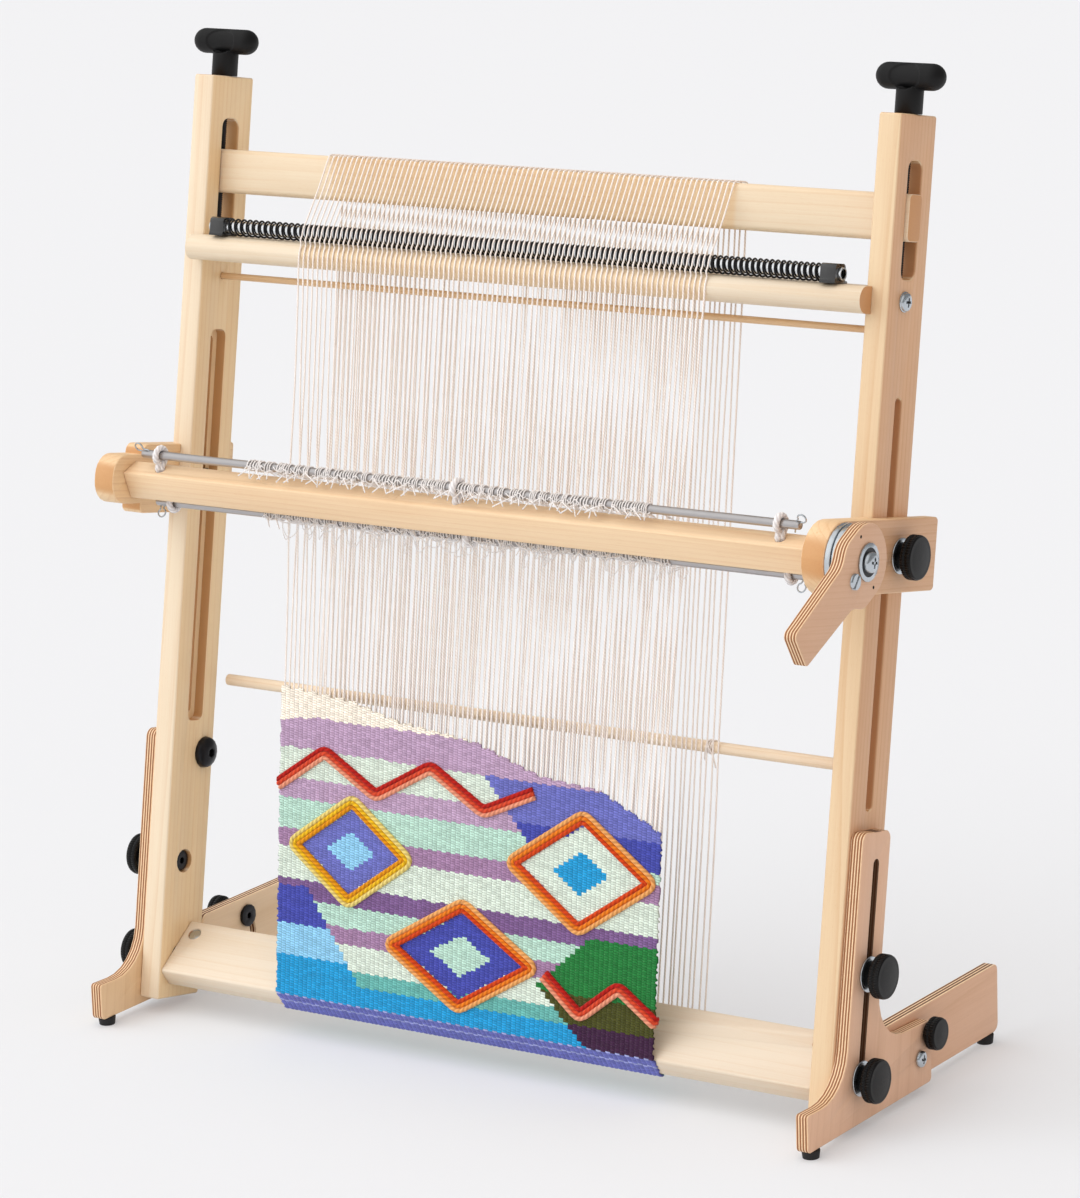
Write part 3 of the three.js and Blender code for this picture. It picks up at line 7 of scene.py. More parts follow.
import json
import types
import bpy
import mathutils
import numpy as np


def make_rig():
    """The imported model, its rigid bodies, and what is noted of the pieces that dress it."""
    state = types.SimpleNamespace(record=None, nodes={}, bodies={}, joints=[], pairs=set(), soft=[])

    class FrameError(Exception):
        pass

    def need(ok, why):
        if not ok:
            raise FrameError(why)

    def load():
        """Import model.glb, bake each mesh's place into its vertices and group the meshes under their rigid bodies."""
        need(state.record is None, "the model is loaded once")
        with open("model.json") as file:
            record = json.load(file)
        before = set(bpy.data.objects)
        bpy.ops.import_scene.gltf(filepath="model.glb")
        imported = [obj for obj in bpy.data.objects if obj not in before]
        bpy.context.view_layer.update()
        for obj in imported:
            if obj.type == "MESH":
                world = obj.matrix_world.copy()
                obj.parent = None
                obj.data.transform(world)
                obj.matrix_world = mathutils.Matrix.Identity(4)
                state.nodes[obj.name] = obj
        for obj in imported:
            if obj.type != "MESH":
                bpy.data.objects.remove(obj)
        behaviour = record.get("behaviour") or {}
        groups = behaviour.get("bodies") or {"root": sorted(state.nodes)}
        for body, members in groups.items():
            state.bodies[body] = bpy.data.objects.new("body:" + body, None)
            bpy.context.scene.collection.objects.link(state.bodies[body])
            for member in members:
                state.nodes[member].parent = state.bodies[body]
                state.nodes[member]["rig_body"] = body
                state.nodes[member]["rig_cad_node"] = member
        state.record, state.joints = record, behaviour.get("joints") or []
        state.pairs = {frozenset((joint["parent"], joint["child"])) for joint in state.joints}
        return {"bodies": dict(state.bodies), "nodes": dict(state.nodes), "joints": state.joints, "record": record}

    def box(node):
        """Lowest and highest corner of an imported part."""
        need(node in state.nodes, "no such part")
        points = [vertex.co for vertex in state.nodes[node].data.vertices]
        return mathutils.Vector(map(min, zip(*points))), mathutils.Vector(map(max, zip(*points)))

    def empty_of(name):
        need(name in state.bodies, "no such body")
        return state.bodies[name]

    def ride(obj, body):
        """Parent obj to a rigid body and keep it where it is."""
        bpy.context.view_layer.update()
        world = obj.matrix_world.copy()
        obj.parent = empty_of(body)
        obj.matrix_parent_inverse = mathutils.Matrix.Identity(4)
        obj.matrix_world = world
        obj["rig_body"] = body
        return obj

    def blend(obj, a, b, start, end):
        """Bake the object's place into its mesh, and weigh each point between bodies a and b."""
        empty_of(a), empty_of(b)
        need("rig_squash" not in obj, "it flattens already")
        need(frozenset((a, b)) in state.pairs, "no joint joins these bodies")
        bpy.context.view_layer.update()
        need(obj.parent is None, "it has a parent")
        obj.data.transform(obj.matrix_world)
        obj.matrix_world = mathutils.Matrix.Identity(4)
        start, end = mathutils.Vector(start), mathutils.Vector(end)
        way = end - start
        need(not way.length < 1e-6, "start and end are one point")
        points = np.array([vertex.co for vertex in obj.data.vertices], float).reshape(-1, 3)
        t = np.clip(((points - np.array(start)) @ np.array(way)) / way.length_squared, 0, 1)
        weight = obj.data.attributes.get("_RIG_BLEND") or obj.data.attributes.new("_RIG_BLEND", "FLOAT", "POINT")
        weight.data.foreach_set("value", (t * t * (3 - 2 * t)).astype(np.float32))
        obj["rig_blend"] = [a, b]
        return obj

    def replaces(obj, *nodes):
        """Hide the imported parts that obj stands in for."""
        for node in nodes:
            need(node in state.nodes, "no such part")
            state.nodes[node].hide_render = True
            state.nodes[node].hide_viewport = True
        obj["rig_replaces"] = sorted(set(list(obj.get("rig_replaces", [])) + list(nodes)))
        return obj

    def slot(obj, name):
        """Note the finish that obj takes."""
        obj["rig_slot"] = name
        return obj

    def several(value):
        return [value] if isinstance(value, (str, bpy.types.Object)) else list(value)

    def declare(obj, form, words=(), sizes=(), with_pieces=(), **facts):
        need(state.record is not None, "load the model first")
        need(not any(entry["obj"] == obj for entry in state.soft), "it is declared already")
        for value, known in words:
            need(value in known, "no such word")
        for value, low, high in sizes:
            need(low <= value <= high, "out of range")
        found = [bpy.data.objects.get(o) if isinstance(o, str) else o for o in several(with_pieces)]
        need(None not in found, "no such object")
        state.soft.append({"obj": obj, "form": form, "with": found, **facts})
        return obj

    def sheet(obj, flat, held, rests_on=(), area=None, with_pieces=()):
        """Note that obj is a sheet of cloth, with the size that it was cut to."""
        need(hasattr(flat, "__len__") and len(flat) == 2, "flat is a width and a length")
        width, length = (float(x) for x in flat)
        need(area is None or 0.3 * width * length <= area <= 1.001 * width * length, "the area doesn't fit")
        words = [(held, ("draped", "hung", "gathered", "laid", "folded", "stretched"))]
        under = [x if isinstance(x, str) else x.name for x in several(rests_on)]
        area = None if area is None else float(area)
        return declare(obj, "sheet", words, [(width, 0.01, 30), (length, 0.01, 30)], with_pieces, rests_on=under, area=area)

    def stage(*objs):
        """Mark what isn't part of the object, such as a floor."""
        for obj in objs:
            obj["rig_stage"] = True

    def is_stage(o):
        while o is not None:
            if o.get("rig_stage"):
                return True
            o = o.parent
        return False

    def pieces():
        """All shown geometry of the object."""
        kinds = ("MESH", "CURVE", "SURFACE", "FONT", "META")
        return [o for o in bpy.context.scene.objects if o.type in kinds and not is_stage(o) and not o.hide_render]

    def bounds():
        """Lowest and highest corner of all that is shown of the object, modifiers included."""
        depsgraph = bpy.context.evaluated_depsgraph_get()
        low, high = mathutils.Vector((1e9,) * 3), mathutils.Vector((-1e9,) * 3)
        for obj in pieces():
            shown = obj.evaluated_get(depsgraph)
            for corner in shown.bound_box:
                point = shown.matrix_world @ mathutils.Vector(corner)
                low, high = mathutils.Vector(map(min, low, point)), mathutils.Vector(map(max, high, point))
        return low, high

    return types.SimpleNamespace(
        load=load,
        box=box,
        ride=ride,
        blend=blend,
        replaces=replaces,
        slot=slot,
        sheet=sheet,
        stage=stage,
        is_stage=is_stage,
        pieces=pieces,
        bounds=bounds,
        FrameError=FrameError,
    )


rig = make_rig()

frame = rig.load()

import json
import logging
import random
from dataclasses import dataclass, field, replace
from enum import Enum
from math import atan2, cos, dist, exp, pi, radians, sin, sqrt
from typing import Callable, Iterable, Sequence, Union

import bpy
import numpy as np
from mathutils import Matrix, Vector

Material = bpy.types.Material
Node = bpy.types.Node
Socket = bpy.types.NodeSocket
Tree = bpy.types.NodeTree
Piece = bpy.types.Object
Feed = Union[float, Sequence[float], Socket]
Point = Sequence[float]

log = logging.getLogger("loom")
MM = 0.001
LEAN = radians(10.2)
SLOT_DEPTH = 28.5
PIVOT_DEPTH, PIVOT_UP = -70.0, 500.0
WELD_REACH = 0.00001
SHARP_ANGLE = radians(31)
WARP_LEFT, WARP_RIGHT = -231.0, 209.0


class Side(Enum):
    """The two ends of the loom."""

    LEFT = -1
    RIGHT = 1

    @property
    def word(self) -> str:
        """The side's name as the nodes spell it."""
        return self.name.lower()


class Grain(Enum):
    """Which way a board's grain runs."""

    ACROSS = "across"
    UP_POST = "up_post"
    DEEP = "deep"
    LONG_FOOT = "long_foot"


def tint(hex_colour: str, alpha: float = 1.0) -> tuple[float, float, float, float]:
    """A colour written as it should look, for a shader.

    Args:
        hex_colour: six hexadecimal digits.
        alpha: opacity.

    Returns:
        Linear red, green and blue, and alpha.
    """
    parts = [int(hex_colour[i : i + 2], 16) / 255 for i in (0, 2, 4)]
    linear = [p / 12.92 if p <= 0.04045 else ((p + 0.055) / 1.055) ** 2.4 for p in parts]
    return (*linear, alpha)


# ---------------------------------------------------------------- places


@dataclass
class LoomAxes:
    """The leaning frame's own axes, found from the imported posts."""

    lean: float = LEAN
    origin: Vector = field(default_factory=Vector)

    def __post_init__(self) -> None:
        """Finds the point between the posts' feet, on their front faces."""
        self.up = Vector((0, sin(self.lean), cos(self.lean)))
        self.back = Vector((0, cos(self.lean), -sin(self.lean)))
        corners = [v.co for v in frame["nodes"]["post_right"].data.vertices]
        up = min(c.dot(self.up) for c in corners)
        back = min(c.dot(self.back) for c in corners)
        middle = (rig.box("post_left")[0].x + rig.box("post_right")[1].x) / 2
        self.origin = Vector((middle, 0, 0)) + self.up * up + self.back * back

    def at(self, x: float, depth: float, up: float) -> Vector:
        """A place in the leaning frame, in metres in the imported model's axes."""
        return self.origin + Vector((x * MM, 0, 0)) + self.back * (depth * MM) + self.up * (up * MM)

    def along(self, x: float, depth: float, up: float) -> Vector:
        """A direction in the leaning frame."""
        return Vector((x, 0, 0)) + self.back * depth + self.up * up


# ---------------------------------------------------------------- meshes


@dataclass
class Patch:
    """Points, faces and face-corner coordinates that grow into one mesh."""

    points: list[Point] = field(default_factory=list)
    faces: list[tuple[int, ...]] = field(default_factory=list)
    corners: list[tuple[float, float]] = field(default_factory=list)
    colours: list[tuple[float, float, float, float]] = field(default_factory=list)

    def take(self, other: "Patch") -> "Patch":
        """Adds another patch's faces to this one.

        Args:
            other: the patch to add.

        Returns:
            This patch.
        """
        start = len(self.points)
        self.points.extend(other.points)
        self.faces.extend(tuple(i + start for i in f) for f in other.faces)
        self.corners.extend(other.corners)
        self.colours.extend(other.colours)
        return self

    def string(self, line: Sequence[Point], radius: float, steps: int, sides: int = 5) -> None:
        """Adds a round strand, of a radius in millimetres, that runs smoothly through places."""
        self.take(tube(eased_run(line, steps), radius * MM, sides))

    def moved(self, change: Matrix) -> "Patch":
        """The same patch with every point moved by a matrix."""
        points = [tuple(change @ Vector(p)) for p in self.points]
        return Patch(points, list(self.faces), list(self.corners), list(self.colours))

    def to_object(self, name: str, material: Material, smooth: bool = True) -> Piece:
        """Makes the object that holds this patch.

        Args:
            name: the piece's name.
            material: its finish.
            smooth: whether its faces shade into each other.

        Returns:
            The new object, linked to the scene.
        """
        mesh = bpy.data.meshes.new(name)
        mesh.from_pydata([tuple(p) for p in self.points], [], self.faces)
        if len(self.corners) == len(mesh.loops):
            layer = mesh.uv_layers.new(name="run")
            layer.data.foreach_set("uv", np.array(self.corners, np.float32).ravel())
        if len(self.colours) == len(self.faces) and self.faces:
            shades = mesh.color_attributes.new(name="yarn", type="FLOAT_COLOR", domain="CORNER")
            counts = [len(f) for f in self.faces]
            spread = np.repeat(np.array(self.colours, np.float32), counts, axis=0)
            shades.data.foreach_set("color", spread.ravel())
        mesh.polygons.foreach_set("use_smooth", [smooth] * len(mesh.polygons))
        mesh.materials.append(material)
        mesh.validate()
        made = bpy.data.objects.new(name, mesh)
        bpy.context.scene.collection.objects.link(made)
        return made


def turning_frames(line: np.ndarray) -> tuple[np.ndarray, np.ndarray]:
    """Two directions square to a line at each of its points, turning as little as they can.

    Args:
        line: the line's points, one to a row.

    Returns:
        The two sets of directions.
    """
    ahead = np.gradient(line, axis=0)
    ahead /= np.linalg.norm(ahead, axis=1)[:, None]
    first = np.cross(ahead[0], (1, 0, 0) if abs(ahead[0][0]) < 0.9 else (0, 1, 0))
    first /= np.linalg.norm(first)
    out = [first]
    for k in range(1, len(line)):
        carried = out[-1] - ahead[k] * (out[-1] @ ahead[k])
        out.append(carried / max(np.linalg.norm(carried), 1e-9))
    out_array = np.array(out)
    return out_array, np.cross(ahead, out_array)


def bands(run: Sequence[float], sides: int, inward: bool = False) -> Patch:
    """Faces between rings of points that follow each other, without the points.

    Args:
        run: how far along each ring lies, for the corners' coordinates.
        sides: points on each ring.
        inward: whether the faces wind the other way.

    Returns:
        A patch whose corner coordinates hold the run and the share round.
    """
    patch = Patch()
    winding = (0, 3, 2, 1) if inward else (0, 1, 2, 3)
    for i in range(len(run) - 1):
        for j in range(sides):
            k = (j + 1) % sides
            low, high = j / sides, (j + 1) / sides
            face = (i * sides + j, i * sides + k, (i + 1) * sides + k, (i + 1) * sides + j)
            square = ((run[i], low), (run[i], high), (run[i + 1], high), (run[i + 1], low))
            patch.faces.append(tuple(face[t] for t in winding))
            patch.corners += [square[t] for t in winding]
    return patch


def tube(line: Iterable[Point], radius: Union[float, Sequence[float]], sides: int = 6) -> Patch:
    """A round strand along a line, with closed ends.

    Args:
        line: points in metres.
        radius: one radius, or one for each point, in metres.
        sides: faces round the strand.

    Returns:
        The strand, whose corner coordinates hold the length run in metres and the share round.
    """
    path = np.array([tuple(p) for p in line], float)
    count = len(path)
    radii = np.full(count, radius, float) if np.isscalar(radius) else np.array(radius, float)
    one, two = turning_frames(path)
    angles = np.arange(sides) * 2 * pi / sides
    aside, over = np.cos(angles)[None, :, None], np.sin(angles)[None, :, None]
    ring = aside * one[:, None, :] + over * two[:, None, :]
    points = (path[:, None, :] + ring * radii[:, None, None]).reshape(-1, 3)
    run = np.concatenate([[0], np.cumsum(np.linalg.norm(np.diff(path, axis=0), axis=1))])
    patch = bands(run, sides)
    patch.points = [tuple(p) for p in points]
    patch.faces.append(tuple(range(sides - 1, -1, -1)))
    patch.faces.append(tuple((count - 1) * sides + j for j in range(sides)))
    patch.corners += [(run[0], j / sides) for j in range(sides - 1, -1, -1)]
    patch.corners += [(run[-1], j / sides) for j in range(sides)]
    return patch


def turned(
    profile: Sequence[tuple[float, float]],
    segments: int = 32,
    reach: Callable[[int, float], float] = lambda row, angle: 0.0,
) -> Patch:
    """A piece turned about the x axis.

    Args:
        profile: (radius, x) in millimetres, from one end on the axis to the other.
        segments: faces round it.
        reach: how far out a profile row goes beyond its radius at an angle, in millimetres.

    Returns:
        The turned piece, round the origin, in metres.
    """
    patch = bands([x * MM for _, x in profile], segments, inward=True)
    for row, (radius, x) in enumerate(profile):
        for j in range(segments):
            angle = 2 * pi * j / segments
            out = max(radius + reach(row, angle), 0.001)
            patch.points.append((x * MM, out * cos(angle) * MM, out * sin(angle) * MM))
    return patch


def eased_run(points: Sequence[Point], steps: int = 6) -> list[Vector]:
    """A smooth line through points.

    Args:
        points: places in metres.
        steps: new points to each span.

    Returns:
        The line's points.
    """
    p = [Vector(q) for q in points]
    ends = [p[0] * 2 - p[1], *p, p[-1] * 2 - p[-2]]
    line = []
    for i in range(1, len(ends) - 2):
        a, b, c, d = ends[i - 1 : i + 3]
        for k in range(steps):
            t = k / steps
            straight = b * 2 + (c - a) * t
            bend = (a * 2 - b * 5 + c * 4 - d) * t**2
            line.append((straight + bend + (b * 3 - a - c * 3 + d) * t**3) * 0.5)
    return [*line, p[-1]]


# ---------------------------------------------------------------- shader helpers


class Sheet:
    """A node tree with short calls that add nodes and join them."""

    def __init__(self, tree: Tree) -> None:
        """Keeps the tree that the nodes go into."""
        self.tree = tree

    def node(self, kind: str, feeds: dict | None = None, **settings: object) -> Node:
        """Adds a node.

        Args:
            kind: the node's type.
            feeds: a value or an output for each named or numbered input.
            settings: the node's own settings.

        Returns:
            The node.
        """
        made = self.tree.nodes.new(kind)
        for key, value in settings.items():
            setattr(made, key, value)
        self.into(made, feeds or {})
        return made

    def into(self, node: Node, feeds: dict) -> None:
        """Feeds a node's inputs: a value or an output for each named or numbered one."""
        for key, value in feeds.items():
            self.feed(node.inputs[key], value)

    def feed(self, socket: Socket, value: Feed) -> None:
        """Joins an output to an input, or sets the input's own value.

        Args:
            socket: the input.
            value: an output, or a plain value.
        """
        if isinstance(value, Socket):
            self.tree.links.new(value, socket)
        else:
            socket.default_value = value

    def math(self, kind: str, a: Feed, b: Feed = 0.0, c: Feed = 0.0, clamp: bool = False) -> Socket:
        """The result of a sum on values."""
        made = self.node("ShaderNodeMath", {0: a, 1: b, 2: c}, operation=kind, use_clamp=clamp)
        return made.outputs[0]

    def times(self, a: Feed, b: Feed, clamp: bool = False) -> Socket:
        """The product of two values."""
        return self.math("MULTIPLY", a, b, clamp=clamp)

    def scaled(self, a: Feed, b: Feed, c: Feed, clamp: bool = False) -> Socket:
        """The product of two values and a third value added."""
        return self.math("MULTIPLY_ADD", a, b, c, clamp)

    def vector(self, operation: str, a: Feed, b: Feed = (0, 0, 0)) -> Socket:
        """The vector result of a sum on vectors."""
        return self.node("ShaderNodeVectorMath", {0: a, 1: b}, operation=operation).outputs[0]

    def stretch(self, a: Feed, b: Feed) -> Socket:
        """A vector with each part multiplied."""
        return self.vector("MULTIPLY", a, b)

    def dot(self, a: Feed, b: Sequence[float]) -> Socket:
        """How far a vector lies along a direction."""
        made = self.node("ShaderNodeVectorMath", {0: a, 1: tuple(b)}, operation="DOT_PRODUCT")
        return made.outputs["Value"]

    def along_grain(self, vector: Feed, grain: Grain) -> Socket:
        """A vector turned so that the grain runs along z."""
        feeds = {0: vector, "Rotation": TURNS[grain]}
        return self.node("ShaderNodeVectorRotate", feeds, rotation_type="EULER_XYZ").outputs[0]

    def noise(self, place: Feed, scale: float, detail: float = 2.0, rough: float = 0.5) -> Socket:
        """Smooth noise at a place."""
        feeds = {"Vector": place, "Scale": scale, "Detail": detail, "Roughness": rough}
        return self.node("ShaderNodeTexNoise", feeds).outputs["Fac"]

    def streaks(self, place: Feed, scale: Point, detail: float = 2.0, rough: float = 0.5) -> Socket:
        """Smooth noise drawn out by its own scale in each direction."""
        return self.noise(self.stretch(place, scale), 1.0, detail, rough)

    def mix(self, share: Feed, a: Feed, b: Feed, blend: str = "MIX") -> Socket:
        """A blend of two colours, by the share of the second."""
        feeds = {"Factor": share, "A": a, "B": b}
        return self.node("ShaderNodeMix", feeds, data_type="RGBA", blend_type=blend).outputs["Result"]

    def smooth(
        self, value: Feed, low: float, high: float, to_low: float = 0.0, to_high: float = 1.0
    ) -> Socket:
        """A soft step between two values."""
        feeds = {0: value, 1: low, 2: high, 3: to_low, 4: to_high}
        return self.node("ShaderNodeMapRange", feeds, interpolation_type="SMOOTHSTEP").outputs[0]

    def parts(self, place: Feed) -> list[Socket]:
        """The three parts of a vector."""
        return list(self.node("ShaderNodeSeparateXYZ", {0: place}).outputs)

    def together(self, x: Feed, y: Feed, z: Feed) -> Socket:
        """A vector of three parts."""
        return self.node("ShaderNodeCombineXYZ", {0: x, 1: y, 2: z}).outputs[0]

    def thrice(self, value: Feed) -> Socket:
        """A vector whose three parts are one value."""
        return self.together(value, value, value)

    def less(self, a: Feed, b: Feed) -> Socket:
        """The difference of two values."""
        return self.math("SUBTRACT", a, b)

    def size(self, a: Feed) -> Socket:
        """A value without its sign."""
        return self.math("ABSOLUTE", a)


class Effects:
    """Shader groups that several finishes share, each built once."""

    def __init__(self) -> None:
        """Starts with no group made."""
        self.made: dict[str, Tree] = {}

    def group(
        self, name: str, inputs: dict[str, tuple[str, object]], outputs: dict[str, str], fill: Callable
    ) -> Tree:
        """Builds a group, or gives the one already built.

        Args:
            name: the group's name.
            inputs: for each input its socket type and its plain value.
            outputs: for each output its socket type.
            fill: takes the sheet and the inputs, and returns the outputs by name.

        Returns:
            The group's node tree.
        """
        if name not in self.made:
            tree = bpy.data.node_groups.new(name, "ShaderNodeTree")
            for label, (kind, value) in inputs.items():
                socket = tree.interface.new_socket(name=label, in_out="INPUT", socket_type=kind)
                if value is not None:
                    socket.default_value = value
            for label, kind in outputs.items():
                tree.interface.new_socket(name=label, in_out="OUTPUT", socket_type=kind)
            sheet = Sheet(tree)
            entry = sheet.node("NodeGroupInput")
            leaving = sheet.node("NodeGroupOutput")
            results = fill(sheet, {label: entry.outputs[label] for label in inputs})
            for label in outputs:
                tree.links.new(results[label], leaving.inputs[label])
            self.made[name] = tree
        return self.made[name]

    def place(self, sheet: Sheet, tree: Tree, feeds: dict[str, Feed]) -> Node:
        """Puts a group into a material, with a value or an output for each named input."""
        return sheet.node("ShaderNodeGroup", feeds, node_tree=tree)

    def worn(self, sheet: Sheet, place: Feed, amount: float) -> Socket:
        """The mask of wear at a place, by an amount."""
        return self.place(sheet, self.handled(), {"Place": place, "Amount": amount}).outputs[0]

    def wood(self) -> Tree:
        """Grain of a board whose fibres run along z.

        Returns:
            The group's node tree.
        """

        def fill(s: Sheet, i: dict) -> dict:
            """Rings, fibres and broad tone.

            Args:
                s: the group's sheet.
                i: its inputs by name.

            Returns:
                Its outputs by name.
            """
            place = s.vector("ADD", i["Place"], s.stretch((0.37, 0.23, 0.71), s.thrice(i["Seed"])))
            drawn = s.stretch(place, (9.0, 9.0, 1.1))
            wander = s.less(s.noise(drawn, 1.0, 2.0), 0.5)
            x, y, _ = s.parts(i["Place"])
            aside = s.math("POWER", s.math("ADD", x, i["Heart"]), 2.0)
            span = s.math("SQRT", s.math("ADD", aside, s.math("POWER", s.math("ADD", y, 0.021), 2.0)))
            span = s.math("ADD", span, s.times(wander, 0.020))
            turn = s.math("FRACT", s.math("DIVIDE", span, i["Ring"]))
            late = s.times(s.math("POWER", turn, 5.0), s.smooth(turn, 1.0, 0.93))
            fibre = s.streaks(place, (620.0, 620.0, 11.0), 3.0, 0.6)
            fleck = s.smooth(s.streaks(place, (1500.0, 1500.0, 160.0), 1.0), 0.60, 0.74)
            tone = s.streaks(place, (22.0, 22.0, 3.2), 2.0)
            share = s.scaled(late, i["Figure"], s.times(s.less(tone, 0.36), 0.9))
            share = s.scaled(s.less(fibre, 0.5), 0.55, share)
            share = s.scaled(fleck, 0.16, share, clamp=True)
            colour = s.mix(share, i["Light"], i["Dark"])
            streak = s.smooth(s.streaks(place, (150.0, 150.0, 13.0), 2.0), 0.755, 0.80)
            colour = s.mix(s.times(streak, 0.55), colour, i["End"])
            ends = s.mix(s.streaks(place, (700.0, 700.0, 700.0), 2.0), i["End"], i["Dark"])
            colour = s.mix(i["End grain"], colour, ends)
            rough = s.scaled(fibre, 0.16, 0.40)
            height = s.scaled(fibre, 0.6, s.times(late, -0.3))
            return {"Color": colour, "Roughness": rough, "Height": height}

        colour, number, vector = "NodeSocketColor", "NodeSocketFloat", "NodeSocketVector"
        inputs = {
            "Place": (vector, None), "Seed": (number, 0.0), "Heart": (number, 0.05),
            "Ring": (number, 0.006), "Figure": (number, 0.5), "End grain": (number, 0.0),
            "Light": (colour, (1, 1, 1, 1)), "Dark": (colour, (0.5, 0.5, 0.5, 1)),
            "End": (colour, (0.7, 0.6, 0.5, 1)),
        }
        outputs = {"Color": colour, "Roughness": number, "Height": number}
        return self.group("board_grain", inputs, outputs, fill)

    def handled(self) -> Tree:
        """Smudges and fine scratches of use.

        Returns:
            The group's node tree.
        """

        def fill(s: Sheet, i: dict) -> dict:
            """Soft patches with thin lines across them.

            Args:
                s: the group's sheet.
                i: its inputs by name.

            Returns:
                Its outputs by name.
            """
            patches = s.smooth(s.noise(i["Place"], 38.0, 3.0), 0.42, 0.72)
            fine = s.streaks(i["Place"], (2300.0, 190.0, 900.0), 1.0)
            lines = s.smooth(fine, 0.62, 0.70)
            return {"Mask": s.times(s.scaled(lines, 0.35, patches), i["Amount"], clamp=True)}

        inputs = {"Place": ("NodeSocketVector", None), "Amount": ("NodeSocketFloat", 0.5)}
        return self.group("handled_wear", inputs, {"Mask": "NodeSocketFloat"}, fill)

    def plies(self) -> Tree:
        """Glued layers seen on a plywood edge.

        Returns:
            The group's node tree.
        """

        def fill(s: Sheet, i: dict) -> dict:
            """Light and dark layers across the sheet's thickness.

            Args:
                s: the group's sheet.
                i: its inputs by name.

            Returns:
                Its outputs by name.
            """
            x, y, z = s.parts(i["Place"])
            rough = s.streaks(i["Place"], (60.0, 34.0, 34.0), 2.0)
            share = s.math("DIVIDE", s.less(x, i["Start"]), i["Thickness"])
            share = s.scaled(s.less(rough, 0.5), 0.022, share)
            turn = s.math("FRACT", s.times(share, i["Pairs"]))
            dark = s.times(s.smooth(turn, 0.38, 0.48), s.smooth(turn, 1.0, 0.93))
            glue = s.times(s.smooth(turn, 0.34, 0.42), s.smooth(turn, 0.56, 0.48))
            pores = s.streaks(i["Place"], (900.0, 240.0, 240.0), 2.0)
            colour = s.mix(dark, i["Light"], i["Dark"])
            colour = s.mix(s.times(glue, 0.55), colour, i["Glue"])
            colour = s.mix(s.times(s.smooth(pores, 0.35, 0.75), 0.16), colour, i["Dark"])
            return {"Color": colour, "Height": s.scaled(dark, -0.5, pores)}

        number, colour = "NodeSocketFloat", "NodeSocketColor"
        inputs = {
            "Place": ("NodeSocketVector", None), "Start": (number, 0.0),
            "Thickness": (number, 0.0127), "Pairs": (number, 4.5),
            "Light": (colour, (1, 1, 1, 1)), "Dark": (colour, (0.4, 0.3, 0.2, 1)),
            "Glue": (colour, (0.2, 0.1, 0.05, 1)),
        }
        return self.group("glued_plies", inputs, {"Color": colour, "Height": number}, fill)

    def twist(self) -> Tree:
        """Plies of a spun strand, from its run and the share round it.

        Returns:
            The group's node tree.
        """

        def fill(s: Sheet, i: dict) -> dict:
            """Slanting ridges with fuzz.

            Args:
                s: the group's sheet.
                i: its inputs by name.

            Returns:
                Its outputs by name.
            """
            run, share, _ = s.parts(i["Run"])
            phase = s.scaled(share, i["Plies"], s.math("DIVIDE", run, i["Pitch"]))
            wave = s.math("SINE", s.times(phase, 2 * pi))
            ridge = s.scaled(wave, 0.5, 0.5)
            fuzz = s.noise(s.together(s.times(run, 2400.0), s.times(share, 9.0), 0.0), 1.0, 2.0)
            tone = s.noise(s.together(s.times(run, 60.0), 0.0, i["Seed"]), 1.0, 1.0)
            shade = s.scaled(fuzz, 0.35, s.times(ridge, 0.65))
            shade = s.scaled(s.less(tone, 0.5), 0.5, shade, clamp=True)
            return {"Shade": shade, "Height": s.scaled(fuzz, 0.3, ridge)}

        number = "NodeSocketFloat"
        inputs = {
            "Run": ("NodeSocketVector", None), "Pitch": (number, 0.004), "Plies": (number, 2.0),
            "Seed": (number, 0.0),
        }
        return self.group("spun_twist", inputs, {"Shade": number, "Height": number}, fill)


EFFECTS = Effects()


@dataclass(frozen=True)
class Finish:
    """A finish that becomes a material: its own class fills in the material's one shader."""

    name: str

    def fill(self, s: Sheet, shader: Node) -> None:
        """Sets the shader's sockets; each finish has its own way."""

    def material(self) -> Material:
        """The finish as a material.

        Returns:
            The material.
        """
        material = bpy.data.materials.new(self.name)
        material.use_nodes = True
        shader = next(n for n in material.node_tree.nodes if n.type == "BSDF_PRINCIPLED")
        self.fill(Sheet(material.node_tree), shader)
        return material


def bumped(sheet: Sheet, shader: Node, height: Feed, distance: float, strength: float = 1.0) -> None:
    """Raises a shader's surface.

    Args:
        sheet: the material's sheet.
        shader: the shader to raise.
        height: the height's pattern.
        distance: how high its pattern stands, in metres.
        strength: how much of it is used.
    """
    bump = sheet.node("ShaderNodeBump", {"Height": height})
    bump.inputs["Distance"].default_value = distance
    bump.inputs["Strength"].default_value = strength
    sheet.feed(shader.inputs["Normal"], bump.outputs[0])


# ---------------------------------------------------------------- finishes

TURNS = {
    Grain.ACROSS: (0.0, pi / 2, 0.0),
    Grain.UP_POST: (LEAN, 0.0, 0.0),
    Grain.DEEP: (LEAN + pi / 2, 0.0, 0.0),
    Grain.LONG_FOOT: (pi / 2, 0.0, 0.0),
}


